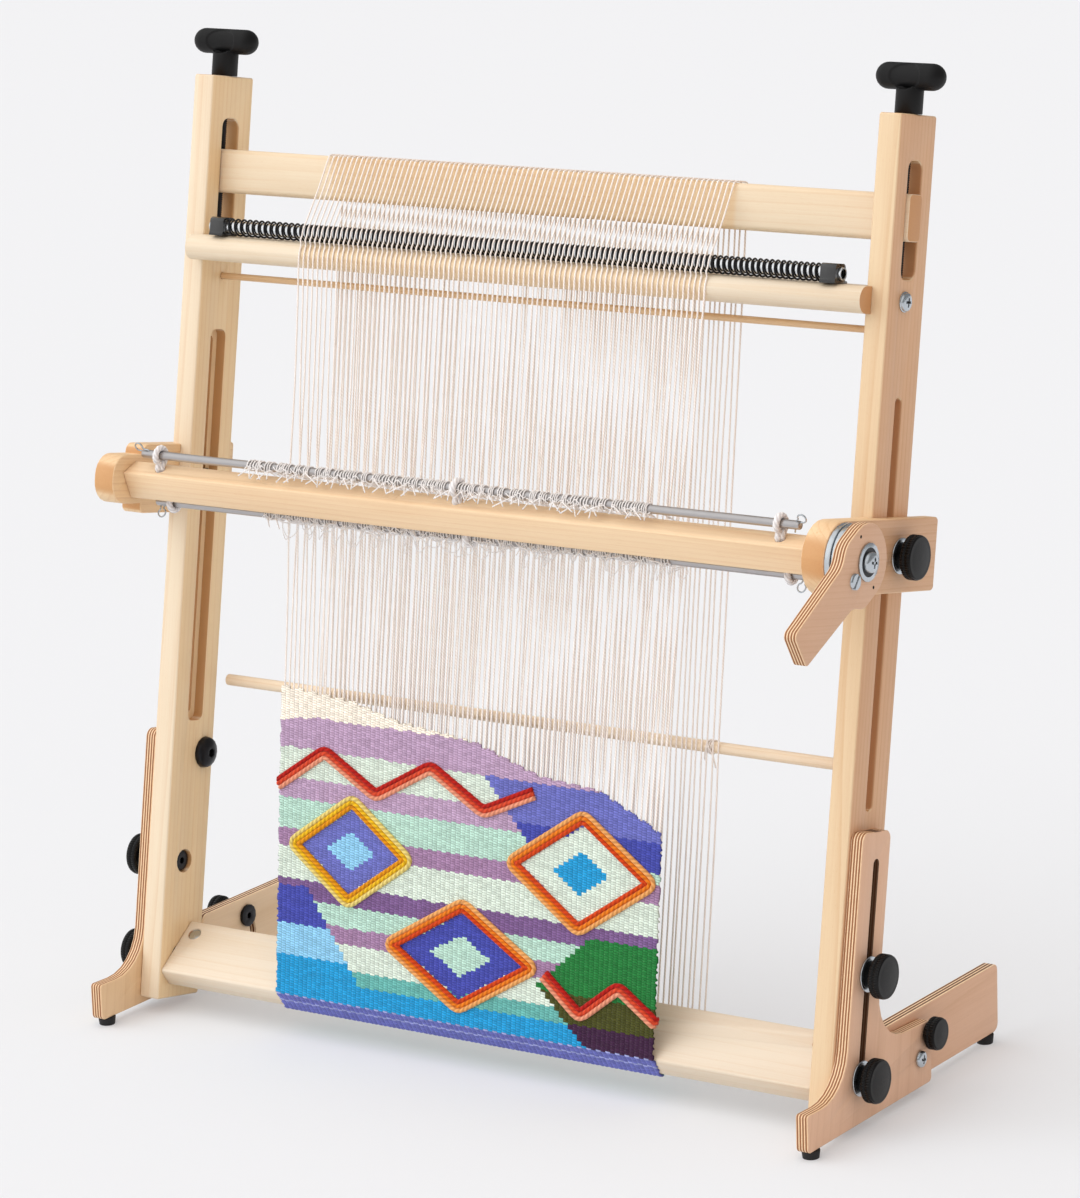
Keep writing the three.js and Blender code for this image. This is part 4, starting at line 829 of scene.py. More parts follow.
@dataclass(frozen=True)
class Maple(Finish):
    """Pale sanded maple with a thin clear finish."""

    grain: Grain
    seed: float
    light: str = "E9D9BF"
    dark: str = "D9B58B"
    end: str = "CE9A66"
    # Tones for the faces that look across the loom: painted shade, a darker, warmer copy of the board's colour.
    side_light: str = "DDB48F"
    side_dark: str = "C69368"
    # Painted shade on the walls of the post's slots.
    grooved: bool = False
    # A painted shadow of the warp on the beam's wood.
    wrapped: bool = False
    figure: float = 0.5
    ring: float = 0.0052
    heart: float = 0.034

    def fill(self, s: Sheet, shader: Node) -> None:
        """Grain along the board, its end grain, wear from hands, and painted light and shade: shaded tones on the
        faces that look across the loom, painted shade on slot walls and a painted shadow under the warp.

        Args:
            s: the sheet of nodes.
            shader: its shader.
        """
        coordinates = s.node("ShaderNodeTexCoord").outputs
        place = s.along_grain(coordinates["Object"], self.grain)
        normal = s.along_grain(coordinates["Normal"], self.grain)
        facing = s.size(s.parts(normal)[2])
        # Painted shade: faces that look across the loom take the side tones.
        side = s.smooth(s.size(s.parts(coordinates["Normal"])[0]), 0.6, 0.9)
        feeds = {
            "Place": place,
            "Seed": self.seed,
            "Heart": self.heart,
            "Ring": self.ring,
            "Figure": self.figure,
            "End grain": s.smooth(facing, 0.75, 0.95),
            "Light": s.mix(side, tint(self.light), tint(self.side_light)),
            "Dark": s.mix(side, tint(self.dark), tint(self.side_dark)),
            "End": tint(self.end),
        }
        grain = EFFECTS.place(s, EFFECTS.wood(), feeds)
        worn = EFFECTS.worn(s, coordinates["Object"], 0.5)
        colour = grain.outputs["Color"]
        # Painted shade on the walls of the slots.
        if self.grooved:
            colour = self.routed(s, place, normal, colour)
        # Painted shadow of the warp: the wood under the threads is darkened a little.
        if self.wrapped:
            across = s.parts(coordinates["Object"])[0]
            middle = LoomAxes().at((WARP_LEFT + WARP_RIGHT) / 2, 0, 0).x
            half = (WARP_RIGHT - WARP_LEFT) / 2 * MM
            away = s.size(s.less(across, middle))
            shaded = s.mix(1.0, colour, tint("FFF5E6"), "MULTIPLY")
            colour = s.mix(s.smooth(away, half + 3 * MM, half - 3 * MM), colour, shaded)
        look = {
            "Base Color": colour,
            "Roughness": s.scaled(worn, -0.10, grain.outputs["Roughness"]),
            "Specular IOR Level": 0.35,
            "Coat Weight": 0.08,
            "Coat Roughness": 0.35,
        }
        s.into(shader, look)
        bumped(s, shader, grain.outputs["Height"], 0.00012, 0.5)

    def routed(self, s: Sheet, place: Feed, normal: Feed, colour: Feed) -> Socket:
        """Paints shade on the walls of a post's slots, which lie between its front and back faces.

        Args:
            s: the material's sheet.
            place: the turned place.
            normal: the turned normal.
            colour: the board's own colour.

        Returns:
            The colour with painted shade on its slots' walls.
        """
        back = LoomAxes().back
        depths = [v.co.dot(back) for v in frame["nodes"]["post_right"].data.vertices]
        low, high, step = min(depths) + 5 * MM, max(depths) - 5 * MM, 0.5 * MM
        depth = s.parts(place)[1]
        within = s.times(s.smooth(depth, low, low + step), s.smooth(depth, high, high - step))
        wall = s.smooth(s.size(s.parts(normal)[1]), 0.5, 0.8)
        # Dark brown painted shade, mixed with the shaded side tone.
        return s.mix(s.times(within, wall), colour, s.mix(0.5, tint("A9744A"), tint(self.side_dark)))


@dataclass(frozen=True)
class Plywood(Finish):
    """Birch plywood with a maple face; its plies show in light and dark pairs on its edges."""

    grain: Grain
    seed: float
    start: float
    thickness: float = 0.0127
    # Painted shade on the walls of the leg's slot.
    slotted: bool = False
    pairs: float = 4.5
    light: str = "E8C1A4"
    dark: str = "D2A785"
    edge_light: str = "F0D2AC"
    edge_dark: str = "96603B"

    def fill(self, s: Sheet, shader: Node) -> None:
        """Face veneer on the flats and plies round the edges, with painted shade on the walls of a leg's slot.

        Args:
            s: the sheet of nodes.
            shader: its shader.
        """
        coordinates = s.node("ShaderNodeTexCoord").outputs
        feeds = {
            "Place": s.along_grain(coordinates["Object"], self.grain),
            "Seed": self.seed,
            "Heart": 0.011,
            "Ring": 0.0041,
            "Figure": 0.32,
            "Light": tint(self.light),
            "Dark": tint(self.dark),
        }
        face = EFFECTS.place(s, EFFECTS.wood(), feeds)
        feeds = {
            "Place": coordinates["Object"], "Start": self.start, "Thickness": self.thickness,
            "Pairs": self.pairs, "Light": tint(self.edge_light), "Dark": tint(self.edge_dark),
            "Glue": tint("6E4222"),
        }
        layers = EFFECTS.place(s, EFFECTS.plies(), feeds)
        facing = s.size(s.parts(coordinates["Normal"])[0])
        edge = s.smooth(facing, 0.80, 0.55)
        rim = layers.outputs["Color"]
        # Painted shade: the slot's walls, near the middle of its depth, turn dark brown.
        if self.slotted:
            axes = LoomAxes()
            depth = s.dot(coordinates["Object"], axes.back)
            middle = axes.at(0, SLOT_DEPTH, 0).dot(axes.back)
            away = s.size(s.less(depth, middle))
            rim = s.mix(s.times(s.smooth(away, 6.5 * MM, 6.0 * MM), 0.88), rim, tint("4E2F1B"))
        s.feed(shader.inputs["Base Color"], s.mix(edge, face.outputs["Color"], rim))
        worn = EFFECTS.worn(s, coordinates["Object"], 0.5)
        s.feed(shader.inputs["Roughness"], s.scaled(worn, -0.08, face.outputs["Roughness"]))
        shader.inputs["Specular IOR Level"].default_value = 0.3
        ply_height = s.times(edge, 1.5)
        height = s.scaled(layers.outputs["Height"], ply_height, face.outputs["Height"])
        bumped(s, shader, height, 0.00012, 0.5)


class Turning(Enum):
    """How a metal's surface was made."""

    PLATED = "plated"
    LATHED = "lathed"
    DRAWN = "drawn"


@dataclass(frozen=True)
class Metal(Finish):
    """Plated, turned or drawn metal."""

    colour: str
    roughness: float
    turning: Turning = Turning.PLATED
    metallic: float = 1.0

    def fill(self, s: Sheet, shader: Node) -> None:
        """Cloudy plating over fine marks.

        Args:
            s: the sheet of nodes.
            shader: its shader.
        """
        place = s.node("ShaderNodeTexCoord").outputs["Object"]
        stretch = {
            Turning.PLATED: (600.0, 600.0, 600.0),
            Turning.LATHED: (5200.0, 900.0, 900.0),
            Turning.DRAWN: (24.0, 3600.0, 3600.0),
        }[self.turning]
        marks = s.streaks(place, stretch, 2.0)
        cloud = s.noise(place, 130.0, 2.0)
        light = tint(self.colour)
        dark = tuple(c * 0.80 for c in light[:3]) + (1.0,)
        s.feed(shader.inputs["Base Color"], s.mix(s.times(cloud, marks, clamp=True), light, dark))
        worn = EFFECTS.worn(s, place, 0.6)
        rough = s.scaled(s.less(marks, 0.5), 0.10, self.roughness)
        s.feed(shader.inputs["Roughness"], s.scaled(worn, 0.10, rough, clamp=True))
        shader.inputs["Metallic"].default_value = self.metallic
        bumped(s, shader, marks, 0.000008, 0.5)


@dataclass(frozen=True)
class Moulded(Finish):
    """Black moulded plastic or rubber with a fine texture."""

    colour: str
    roughness: float
    dimple: float = 0.00006
    specular: float = 0.5

    def fill(self, s: Sheet, shader: Node) -> None:
        """Fine dimples, dusty in places.

        Args:
            s: the sheet of nodes.
            shader: its shader.
        """
        place = s.node("ShaderNodeTexCoord").outputs["Object"]
        dimples = s.noise(place, 1500.0, 2.0)
        worn = EFFECTS.worn(s, place, 0.8)
        light = tint(self.colour)
        dusty = tuple(c * 1.35 + 0.002 for c in light[:3]) + (1.0,)
        s.feed(shader.inputs["Base Color"], s.mix(s.times(worn, 0.6), light, dusty))
        s.feed(shader.inputs["Roughness"], s.scaled(dimples, 0.16, self.roughness))
        shader.inputs["Specular IOR Level"].default_value = self.specular
        bumped(s, shader, dimples, self.dimple, 0.6)


@dataclass(frozen=True)
class Spun(Finish):
    """Yarn, cord or wool whose strands are tubes that hold their run."""

    light: str
    dark: str
    pitch: float = 0.004
    plies: float = 2.0
    height: float = 0.00025
    dyed: bool = False

    def fill(self, s: Sheet, shader: Node) -> None:
        """Light ridges, and painted shade in the valleys between the plies.

        Args:
            s: the sheet of nodes.
            shader: its shader.
        """
        run = s.node("ShaderNodeUVMap", uv_map="run").outputs[0]
        feeds = {"Run": run, "Pitch": self.pitch, "Plies": self.plies}
        twist = EFFECTS.place(s, EFFECTS.twist(), feeds)
        shade = twist.outputs["Shade"]
        # Painted shade: the twist's shade mask darkens the valleys between the plies.
        if self.dyed:
            dye = s.node("ShaderNodeVertexColor", layer_name="yarn").outputs[0]
            deep = s.mix(1.0, dye, tint(self.dark), "MULTIPLY")
            colour = s.mix(shade, deep, dye)
        else:
            colour = s.mix(shade, tint(self.dark), tint(self.light))
        look = {
            "Base Color": colour, "Roughness": 0.92, "Specular IOR Level": 0.2,
            "Sheen Weight": 0.12, "Sheen Roughness": 0.5,
        }
        s.into(shader, look)
        bumped(s, shader, twist.outputs["Height"], self.height, 0.8)


@dataclass(frozen=True)
class Woven(Finish):
    """Weft-faced weave, dyed dash by dash; its run counts warp ends across and picks up."""

    # Brightness left in the gaps between rows and in the furrows between ends: painted shade.
    gap: float = 0.48
    furrow: float = 0.68

    def fill(self, s: Sheet, shader: Node) -> None:
        """Each cell's dye, with fuzz and fleck, and painted shade in the gaps between the rows and the furrows between
        the ends.

        Args:
            s: the sheet of nodes.
            shader: its shader.
        """
        run = s.node("ShaderNodeUVMap", uv_map="run").outputs[0]
        across, up, _ = s.parts(run)
        dye = s.node("ShaderNodeVertexColor", layer_name="yarn").outputs[0]
        end = s.math("FLOOR", across)
        stagger = s.math("MODULO", end, 2.0)
        along = s.math("FRACT", across)
        dash = s.math("FRACT", s.math("DIVIDE", s.math("ADD", up, stagger), 2.0))
        drift = s.times(s.less(along, 0.5), 0.22)
        slanted = s.math("FRACT", s.math("ADD", dash, drift))
        crown = s.math("SINE", s.times(slanted, pi))
        rib = s.math("SINE", s.times(along, pi))
        strand = s.together(s.times(across, 2.2), s.times(up, 2.6), stagger)
        fuzz = s.noise(strand, 1.0, 3.0, 0.6)
        # Painted shade: each dash darkens towards its gaps and furrows; fuzz varies its tone.
        crowned = s.smooth(crown, 0.0, 0.55, self.gap, 1.0)
        level = s.times(crowned, s.smooth(rib, 0.0, 0.4, self.furrow, 1.0))
        level = s.times(level, s.scaled(fuzz, 0.70, 0.80))
        colour = s.mix(1.0, dye, s.thrice(level), "MULTIPLY")
        fleck = s.times(s.smooth(fuzz, 0.60, 0.80), 0.22)
        colour = s.mix(fleck, colour, tint("F2EEE8"))
        look = {"Roughness": 0.95, "Specular IOR Level": 0.15, "Sheen Weight": 0.12}
        s.into(shader, {"Base Color": colour, **look})
        height = s.scaled(fuzz, 0.35, s.times(crown, rib))
        bumped(s, shader, height, 0.0006, 0.9)


@dataclass(frozen=True)
class Backdrop(Finish):
    """Plain pale studio floor; part of what the camera sees is flat white, so shadows stay light."""

    name: str = "studio_floor"
    colour: str = "E3E8ED"
    seen: str = "F2F1F3"
    share: float = 0.30

    def fill(self, s: Sheet, shader: Node) -> None:
        """One pale, dull colour, partly glowing for what looks straight at it.

        Args:
            s: the sheet of nodes.
            shader: its shader.
        """
        rays = s.node("ShaderNodeLightPath")
        straight = s.math("MAXIMUM", rays.outputs["Is Camera Ray"], rays.outputs["Is Transmission Ray"])
        straight = s.times(s.math("MAXIMUM", straight, rays.outputs["Is Glossy Ray"]), self.share)
        black = (0.0, 0.0, 0.0, 1.0)
        look = {
            "Base Color": s.mix(straight, tint(self.colour), black),
            "Emission Color": s.mix(straight, black, tint(self.seen)),
            "Emission Strength": 1.0,
            "Roughness": 0.9,
            "Specular IOR Level": 0.1,
        }
        s.into(shader, look)


def made_of(finish: Finish) -> Material:
    """A field that holds a finish's material, built with its owner."""
    return field(default_factory=finish.material)


@dataclass
class Finishes:
    """Every finish that more than one sub-assembly uses."""

    zinc: Material = made_of(Metal("zinc_plate", "C6CDD3", 0.20))
    bright: Material = made_of(Metal("bright_tube", "E4E6E8", 0.16, Turning.DRAWN))
    rod_steel: Material = made_of(Metal("drawn_rod", "BBB8B8", 0.32, Turning.DRAWN))
    disc_steel: Material = made_of(Metal("lathed_disc", "CDD3D8", 0.16, Turning.LATHED))
    black_steel: Material = made_of(Metal("black_oxide", "242427", 0.32, Turning.PLATED, 0.7))
    plastic: Material = made_of(Moulded("matt_plastic", "0F0F10", 0.42, 0.00006, 0.26))
    knob: Material = made_of(Moulded("knob_plastic", "0A0A0B", 0.22, 0.00001, 0.22))
    gloss: Material = made_of(Moulded("gloss_plastic", "141415", 0.10, 0.00001, 0.9))
    rubber: Material = made_of(Moulded("foot_rubber", "171718", 0.60))
    # Flat black for the bottoms of recesses and holes: painted shade.
    dark_hole: Material = made_of(Moulded("dark_recess", "0B0B0B", 0.8))
    warp: Material = made_of(Spun("warp_twine", "FFFDFA", "EADDD4", 0.0030, 2.0, 0.00015))
    string: Material = made_of(Spun("heddle_string", "FFFFFF", "DDD8D6", 0.0024, 2.0, 0.00012))
    cord: Material = made_of(Spun("braided_cord", "FAF9FA", "C9C7C9", 0.0042, 4.0, 0.00045))


def dress(node: str, material: Material, soften: float = 0.0) -> None:
    """Gives a CAD node its finish, and eases how its edges catch light.

    Args:
        node: the node's name.
        material: its finish.
        soften: width of the rounding on its edges, in millimetres.
    """
    piece = frame["nodes"][node]
    piece.data.materials.clear()
    piece.data.materials.append(material)
    piece.data.polygons.foreach_set("use_smooth", [True] * len(piece.data.polygons))
    weld = piece.modifiers.new("weld", "WELD")
    weld.merge_threshold = WELD_REACH
    if soften:
        bevel = piece.modifiers.new("eased", "BEVEL")
        bevel.width = soften * MM
        bevel.segments = 2
        bevel.limit_method = "ANGLE"
        bevel.angle_limit = SHARP_ANGLE
        bevel.use_clamp_overlap = True
        bevel.harden_normals = True
    else:
        piece.modifiers.new("normals", "WEIGHTED_NORMAL").keep_sharp = False


def fitted(
    patch: Patch, name: str, finish: Material, body: str, slot: str = "", stands_for: str = ""
) -> Piece:
    """Makes a piece, and gives it its CAD node, its body and its slot.

    Args:
        patch: its shape.
        name: its name.
        finish: its material.
        body: the body it rides on.
        slot: its material slot, where it has one.
        stands_for: the CAD node it replaces, where there is one.

    Returns:
        The new object.
    """
    made = patch.to_object(name, finish)
    if stands_for:
        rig.replaces(made, stands_for)
    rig.ride(made, body)
    if slot:
        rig.slot(made, slot)
    return made


@dataclass
class Assembly:
    """What every sub-assembly is built with."""

    axes: LoomAxes
    finishes: Finishes

    def at(self, x: float, depth: float, up: float) -> Vector:
        """A place in the leaning frame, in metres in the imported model's axes."""
        return self.axes.at(x, depth, up)


# ---------------------------------------------------------------- small hardware


@dataclass
class Fastener(Assembly):
    """A screw or washer on a face that looks along x."""

    def placed(self, patch: Patch, side: Side, at: Vector) -> Patch:
        """Turns a piece drawn along +x to face its side, and puts it in place.

        Args:
            patch: the piece.
            side: which way it looks.
            at: its place, in metres.

        Returns:
            The piece in place.
        """
        turn = Matrix.Rotation(-self.axes.lean, 4, "X")
        if side is Side.LEFT:
            turn = turn @ Matrix.Rotation(pi, 4, "Z")
        return patch.moved(Matrix.Translation(at) @ turn)

    def fixed(
        self, patch: Patch, side: Side, at: Vector, name: str, finish: Material, body: str
    ) -> None:
        """Makes a piece drawn along +x, on its side and in its place."""
        fitted(self.placed(patch, side, at), name, finish, body)

    def head(self, radius: float, segments: int, face: Callable[[float, float, float], float]) -> Patch:
        """A screw head, ring by ring from its rim to its middle.

        Args:
            radius: of the head, in millimetres.
            segments: points on each ring.
            face: gives the height at a distance from the middle, y and z.

        Returns:
            The head, standing on x = 0.
        """
        rings = 20
        patch = Patch(faces=bands(range(rings + 1), segments).faces)
        for row in range(rings + 1):
            out = radius * (1 - row / rings)
            for j in range(segments):
                angle = 2 * pi * j / segments
                y, z = out * cos(angle), out * sin(angle)
                x = 0.0 if row == 0 else face(out, y, z)
                patch.points.append((x * MM, y * MM, z * MM))
        return patch

    def pan_head(self, radius: float, height: float) -> Patch:
        """A domed screw head with a cross-shaped recess.

        Args:
            radius: of the head, in millimetres.
            height: of the head, in millimetres.

        Returns:
            The head, standing on x = 0.
        """

        def face(out: float, y: float, z: float) -> float:
            """The dome's height, sunk where its cross lies.

            Args:
                out: distance from the head's middle.
                y: place across.
                z: place up.

            Returns:
                The height there.
            """
            crown = height * (0.45 + 0.55 * sqrt(max(0.0, 1 - (out / radius) ** 2)))
            arm = min(abs(y), abs(z)) / (radius * 0.13)
            reach = max(abs(y), abs(z)) / (radius * 0.52)
            inside = max(0.0, 1 - max(arm, reach) ** 4)
            return crown - height * 0.8 * inside

        return self.head(radius, 96, face)

    def cross(self, reach: float, arm: float, height: float) -> Patch:
        """Painted shade: a dark flat cross at the bottom of a cross-shaped recess.

        Args:
            reach: length of each of its four arms, in millimetres.
            arm: half their width.
            height: where it lies along x.

        Returns:
            A flat cross, a little deeper at its middle.
        """
        rim = [(arm, arm), (arm, reach), (-arm, reach), (-arm, arm), (-reach, arm), (-reach, -arm)]
        rim += [(-arm, -arm), (-arm, -reach), (arm, -reach), (arm, -arm), (reach, -arm), (reach, arm)]
        points = [(height * MM, y * MM, z * MM) for y, z in rim] + [((height - 0.5) * MM, 0.0, 0.0)]
        return Patch(points, [(k, (k + 1) % 12, 12) for k in range(12)])

    def slot(self, reach: float, half: float, height: float, angle: float) -> Patch:
        """Painted shade: a dark flat face at the bottom of a straight slot.

        Args:
            reach: half its length, in millimetres.
            half: half its width.
            height: where it lies along x.
            angle: how far it is turned.

        Returns:
            One flat face.
        """
        c, s = cos(angle), sin(angle)
        corners = [(-reach, -half), (reach, -half), (reach, half), (-reach, half)]
        points = [(height * MM, (a * c - b * s) * MM, (a * s + b * c) * MM) for a, b in corners]
        return Patch(points, [(0, 1, 2, 3)])

    def slotted_head(self, radius: float, height: float, angle: float) -> Patch:
        """A flat screw head with one straight slot.

        Args:
            radius: of the head, in millimetres.
            height: of the head, in millimetres.
            angle: how far the slot is turned.

        Returns:
            The head, standing on x = 0.
        """

        def face(out: float, y: float, z: float) -> float:
            """The head's height, less in its slot."""
            aside = abs(y * sin(angle) - z * cos(angle))
            return height - (height * 0.75 if aside < radius * 0.14 else 0.0)

        return self.head(radius, 64, face)

    def crossed(
        self, names: tuple[str, str], head: Point, cross: Point, side: Side, at: Vector, body: str
    ) -> None:
        """A pan-head screw and the painted shade at the bottom of its recess.

        Args:
            names: of the screw and of its recess's painted shade.
            head: the head's radius and height.
            cross: the recess's reach, half width and height.
            side: which way it looks.
            at: its seat, in metres.
            body: the body it rides on.
        """
        self.fixed(self.pan_head(*head), side, at, names[0], self.finishes.zinc, body)
        # A dark flat cross in the recess: painted shade.
        self.fixed(self.cross(*cross), side, at, names[1], self.finishes.dark_hole, body)


@dataclass
class Knob(Assembly):
    """A clamping knob: a plain hub and a knurled head with a domed face."""

    diameter: float = 40.0
    hub_diameter: float = 24.0
    washer: float = 1.8
    washer_diameter: float = 32.0
    hub: float = 7.0
    head: float = 12.2
    ribs: int = 50

    def profile(self) -> tuple[list[tuple[float, float]], list[float]]:
        """The knob's outline.

        Returns:
            Its rows from hub to dome, and how deep the knurl is at each.
        """
        r, h = self.diameter / 2, self.hub_diameter / 2
        start = self.washer
        back = start + self.hub
        rows = [
            (0.0, start, 0.0), (h - 0.4, start, 0.0), (h, start + 0.4, 0.0),
            (h - 0.4, back - 0.8, 0.0), (h + 0.5, back, 0.0), (r - 3.0, back + 0.4, 0.3),
            (r - 0.8, back + 1.2, 0.9), (r, back + 2.0, 1.0), (r, back + 5.2, 1.0),
            (r - 0.7, back + 5.5, 0.4), (r - 0.7, back + 5.9, 0.4), (r, back + 6.2, 1.0),
            (r, back + 9.3, 1.0), (r - 0.5, back + 9.8, 0.3), (r - 0.6, back + 10.0, 0.0),
            (r - 0.7, back + 10.9, 0.0), (r - 1.6, back + 11.4, 0.0), (r - 2.2, back + 11.35, 0.0),
            (r - 6.0, back + 11.7, 0.0), (r - 12.0, back + self.head, 0.0),
            (0.0, back + self.head + 0.1, 0.0),
        ]
        return [(max(a, 0.0), b) for a, b, _ in rows], [c for _, _, c in rows]

    def build(self, node: str, side: Side, at: Vector) -> None:
        """Makes the knob that stands for a CAD node, and rides on the body of that name.

        Args:
            node: the CAD knob and its body.
            side: which way it looks.
            at: the middle of its seat, in metres.
        """
        rows, knurl = self.profile()

        def reach(row: int, angle: float) -> float:
            """Ribs that rise and fall round the rim."""
            return -0.85 * knurl[row] * (0.5 - 0.5 * cos(self.ribs * angle)) ** 2

        patch = turned(rows, self.ribs * 6, reach)
        fastener = Fastener(self.axes, self.finishes)
        grip = fastener.placed(patch, side, at)
        fitted(grip, node + "_grip", self.finishes.knob, node, "black_plastic", node)
        if self.washer:
            r, t, hole = self.washer_diameter / 2, self.washer, 4.6
            rim = [(r - 0.2, 0.0), (r, 0.25), (r, t - 0.25), (r - 0.3, t)]
            ring = turned([(hole, 0.0), *rim, (hole, t), (hole, 0.0)], 48)
            washer = fastener.placed(ring, side, at)
            fitted(washer, node + "_washer", self.finishes.zinc, node, "zinc_steel")


# ---------------------------------------------------------------- sub-assemblies


@dataclass
class Woodwork:
    """The boards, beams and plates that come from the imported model."""

    soften: float = 0.5

    def build(self) -> None:
        """Gives each board its own piece of timber."""
        post, across, deep = Grain.UP_POST, Grain.ACROSS, Grain.DEEP
        # Painted bounce light: the left post's sides take lighter side tones.
        left_lit_sides = {"side_light": "F4DAB0", "side_dark": "E2B982"}
        boards = {
            "post_left": Maple("maple_post_left", post, 1.0, figure=0.42, heart=0.40, **left_lit_sides),
            "post_right": Maple("maple_post_right", post, 4.0, "E4CCA8", "D0A577", heart=-0.352),
            "top_beam": Maple("maple_top_beam", across, 7.0, "EBDBC0", "DCBC93", heart=-0.86),
            "spacer_beam": Maple("maple_spacer", across, 9.0, "E6D9C3", "DABF99", heart=-0.74),
            "upper_dowel": Maple("maple_dowel", across, 12.0, "E8CAA2", "CF9F6E"),
            "bottom_beam": Maple("maple_bottom_beam", across, 15.0, "E4D8C5", "D7BE9C", heart=-0.03),
            "heddle_bar": Maple("maple_bar", across, 18.0, "F1D6B1", "DCB081"),
            "warp_bar": Maple("maple_warp_bar", across, 21.0, "F6E6CE", "E2C59F"),
            "heddle_arm_left": Maple("maple_arm_left", deep, 24.0, "EDCEA4", "D3A370"),
            "heddle_arm_right": Maple("maple_arm_right", deep, 27.0, "EDCEA4", "D3A370"),
        }
        more = {
            # The posts take painted shade on their slot walls; the top and spacer beams take a painted shadow under
            # the warp.
            "post_left": {"grooved": True},
            "post_right": {"grooved": True, "figure": 0.48},
            "top_beam": {"wrapped": True, "figure": 0.34},
            "spacer_beam": {"wrapped": True, "figure": 0.30},
            "bottom_beam": {"figure": 0.30},
            "heddle_bar": {"figure": 0.34},
            # The left arm's sides take a lighter tone of painted bounce light.
            "heddle_arm_left": {"figure": 0.4, "side_light": "F0CFA2"},
            "heddle_arm_right": {"figure": 0.4},
        }
        for node, finish in boards.items():
            dress(node, replace(finish, **more.get(node, {})).material(), self.soften)
            log.info("dressed %s", node)
        for side in Side:
            for kind, grain in (("leg", Grain.UP_POST), ("rear_leg", Grain.LONG_FOOT)):
                node = f"{kind}_{side.word}"
                start, thickness = self.sheet_of(node)
                seed = 31.0 + 3 * side.value + (7 if kind == "leg" else 0)
                # The leg plates take painted shade on their slot walls.
                finish = Plywood(f"ply_{node}", grain, seed, start, thickness, kind == "leg")
                # Painted light: the left leg plate takes a lighter copy of the veneer, as it faces the light.
                if node == "leg_left":
                    finish = replace(finish, light="EFD0A8", dark="DCB588")
                if kind == "rear_leg":
                    finish = replace(finish, pairs=3.5, edge_light="FFE4C0", edge_dark="6E3A1C")
                # Painted light: a lighter copy of the veneer for the left rear leg.
                if node == "rear_leg_left":
                    finish = replace(finish, light="F8DDBB", dark="E8C69C")
                dress(node, finish.material(), 0.4)
                log.info("dressed %s", node)
        start, thickness = self.sheet_of("shed_lever")
        lever = Plywood("ply_lever", Grain.DEEP, 44.0, start, thickness, light="DDB698", dark="C99D7B")
        dress("shed_lever", lever.material(), 0.4)

    def sheet_of(self, node: str) -> tuple[float, float]:
        """Where a plywood node's sheet starts across the loom, and its thickness, in metres."""
        across = [v.co.x for v in frame["nodes"][node].data.vertices]
        return min(across), max(across) - min(across)


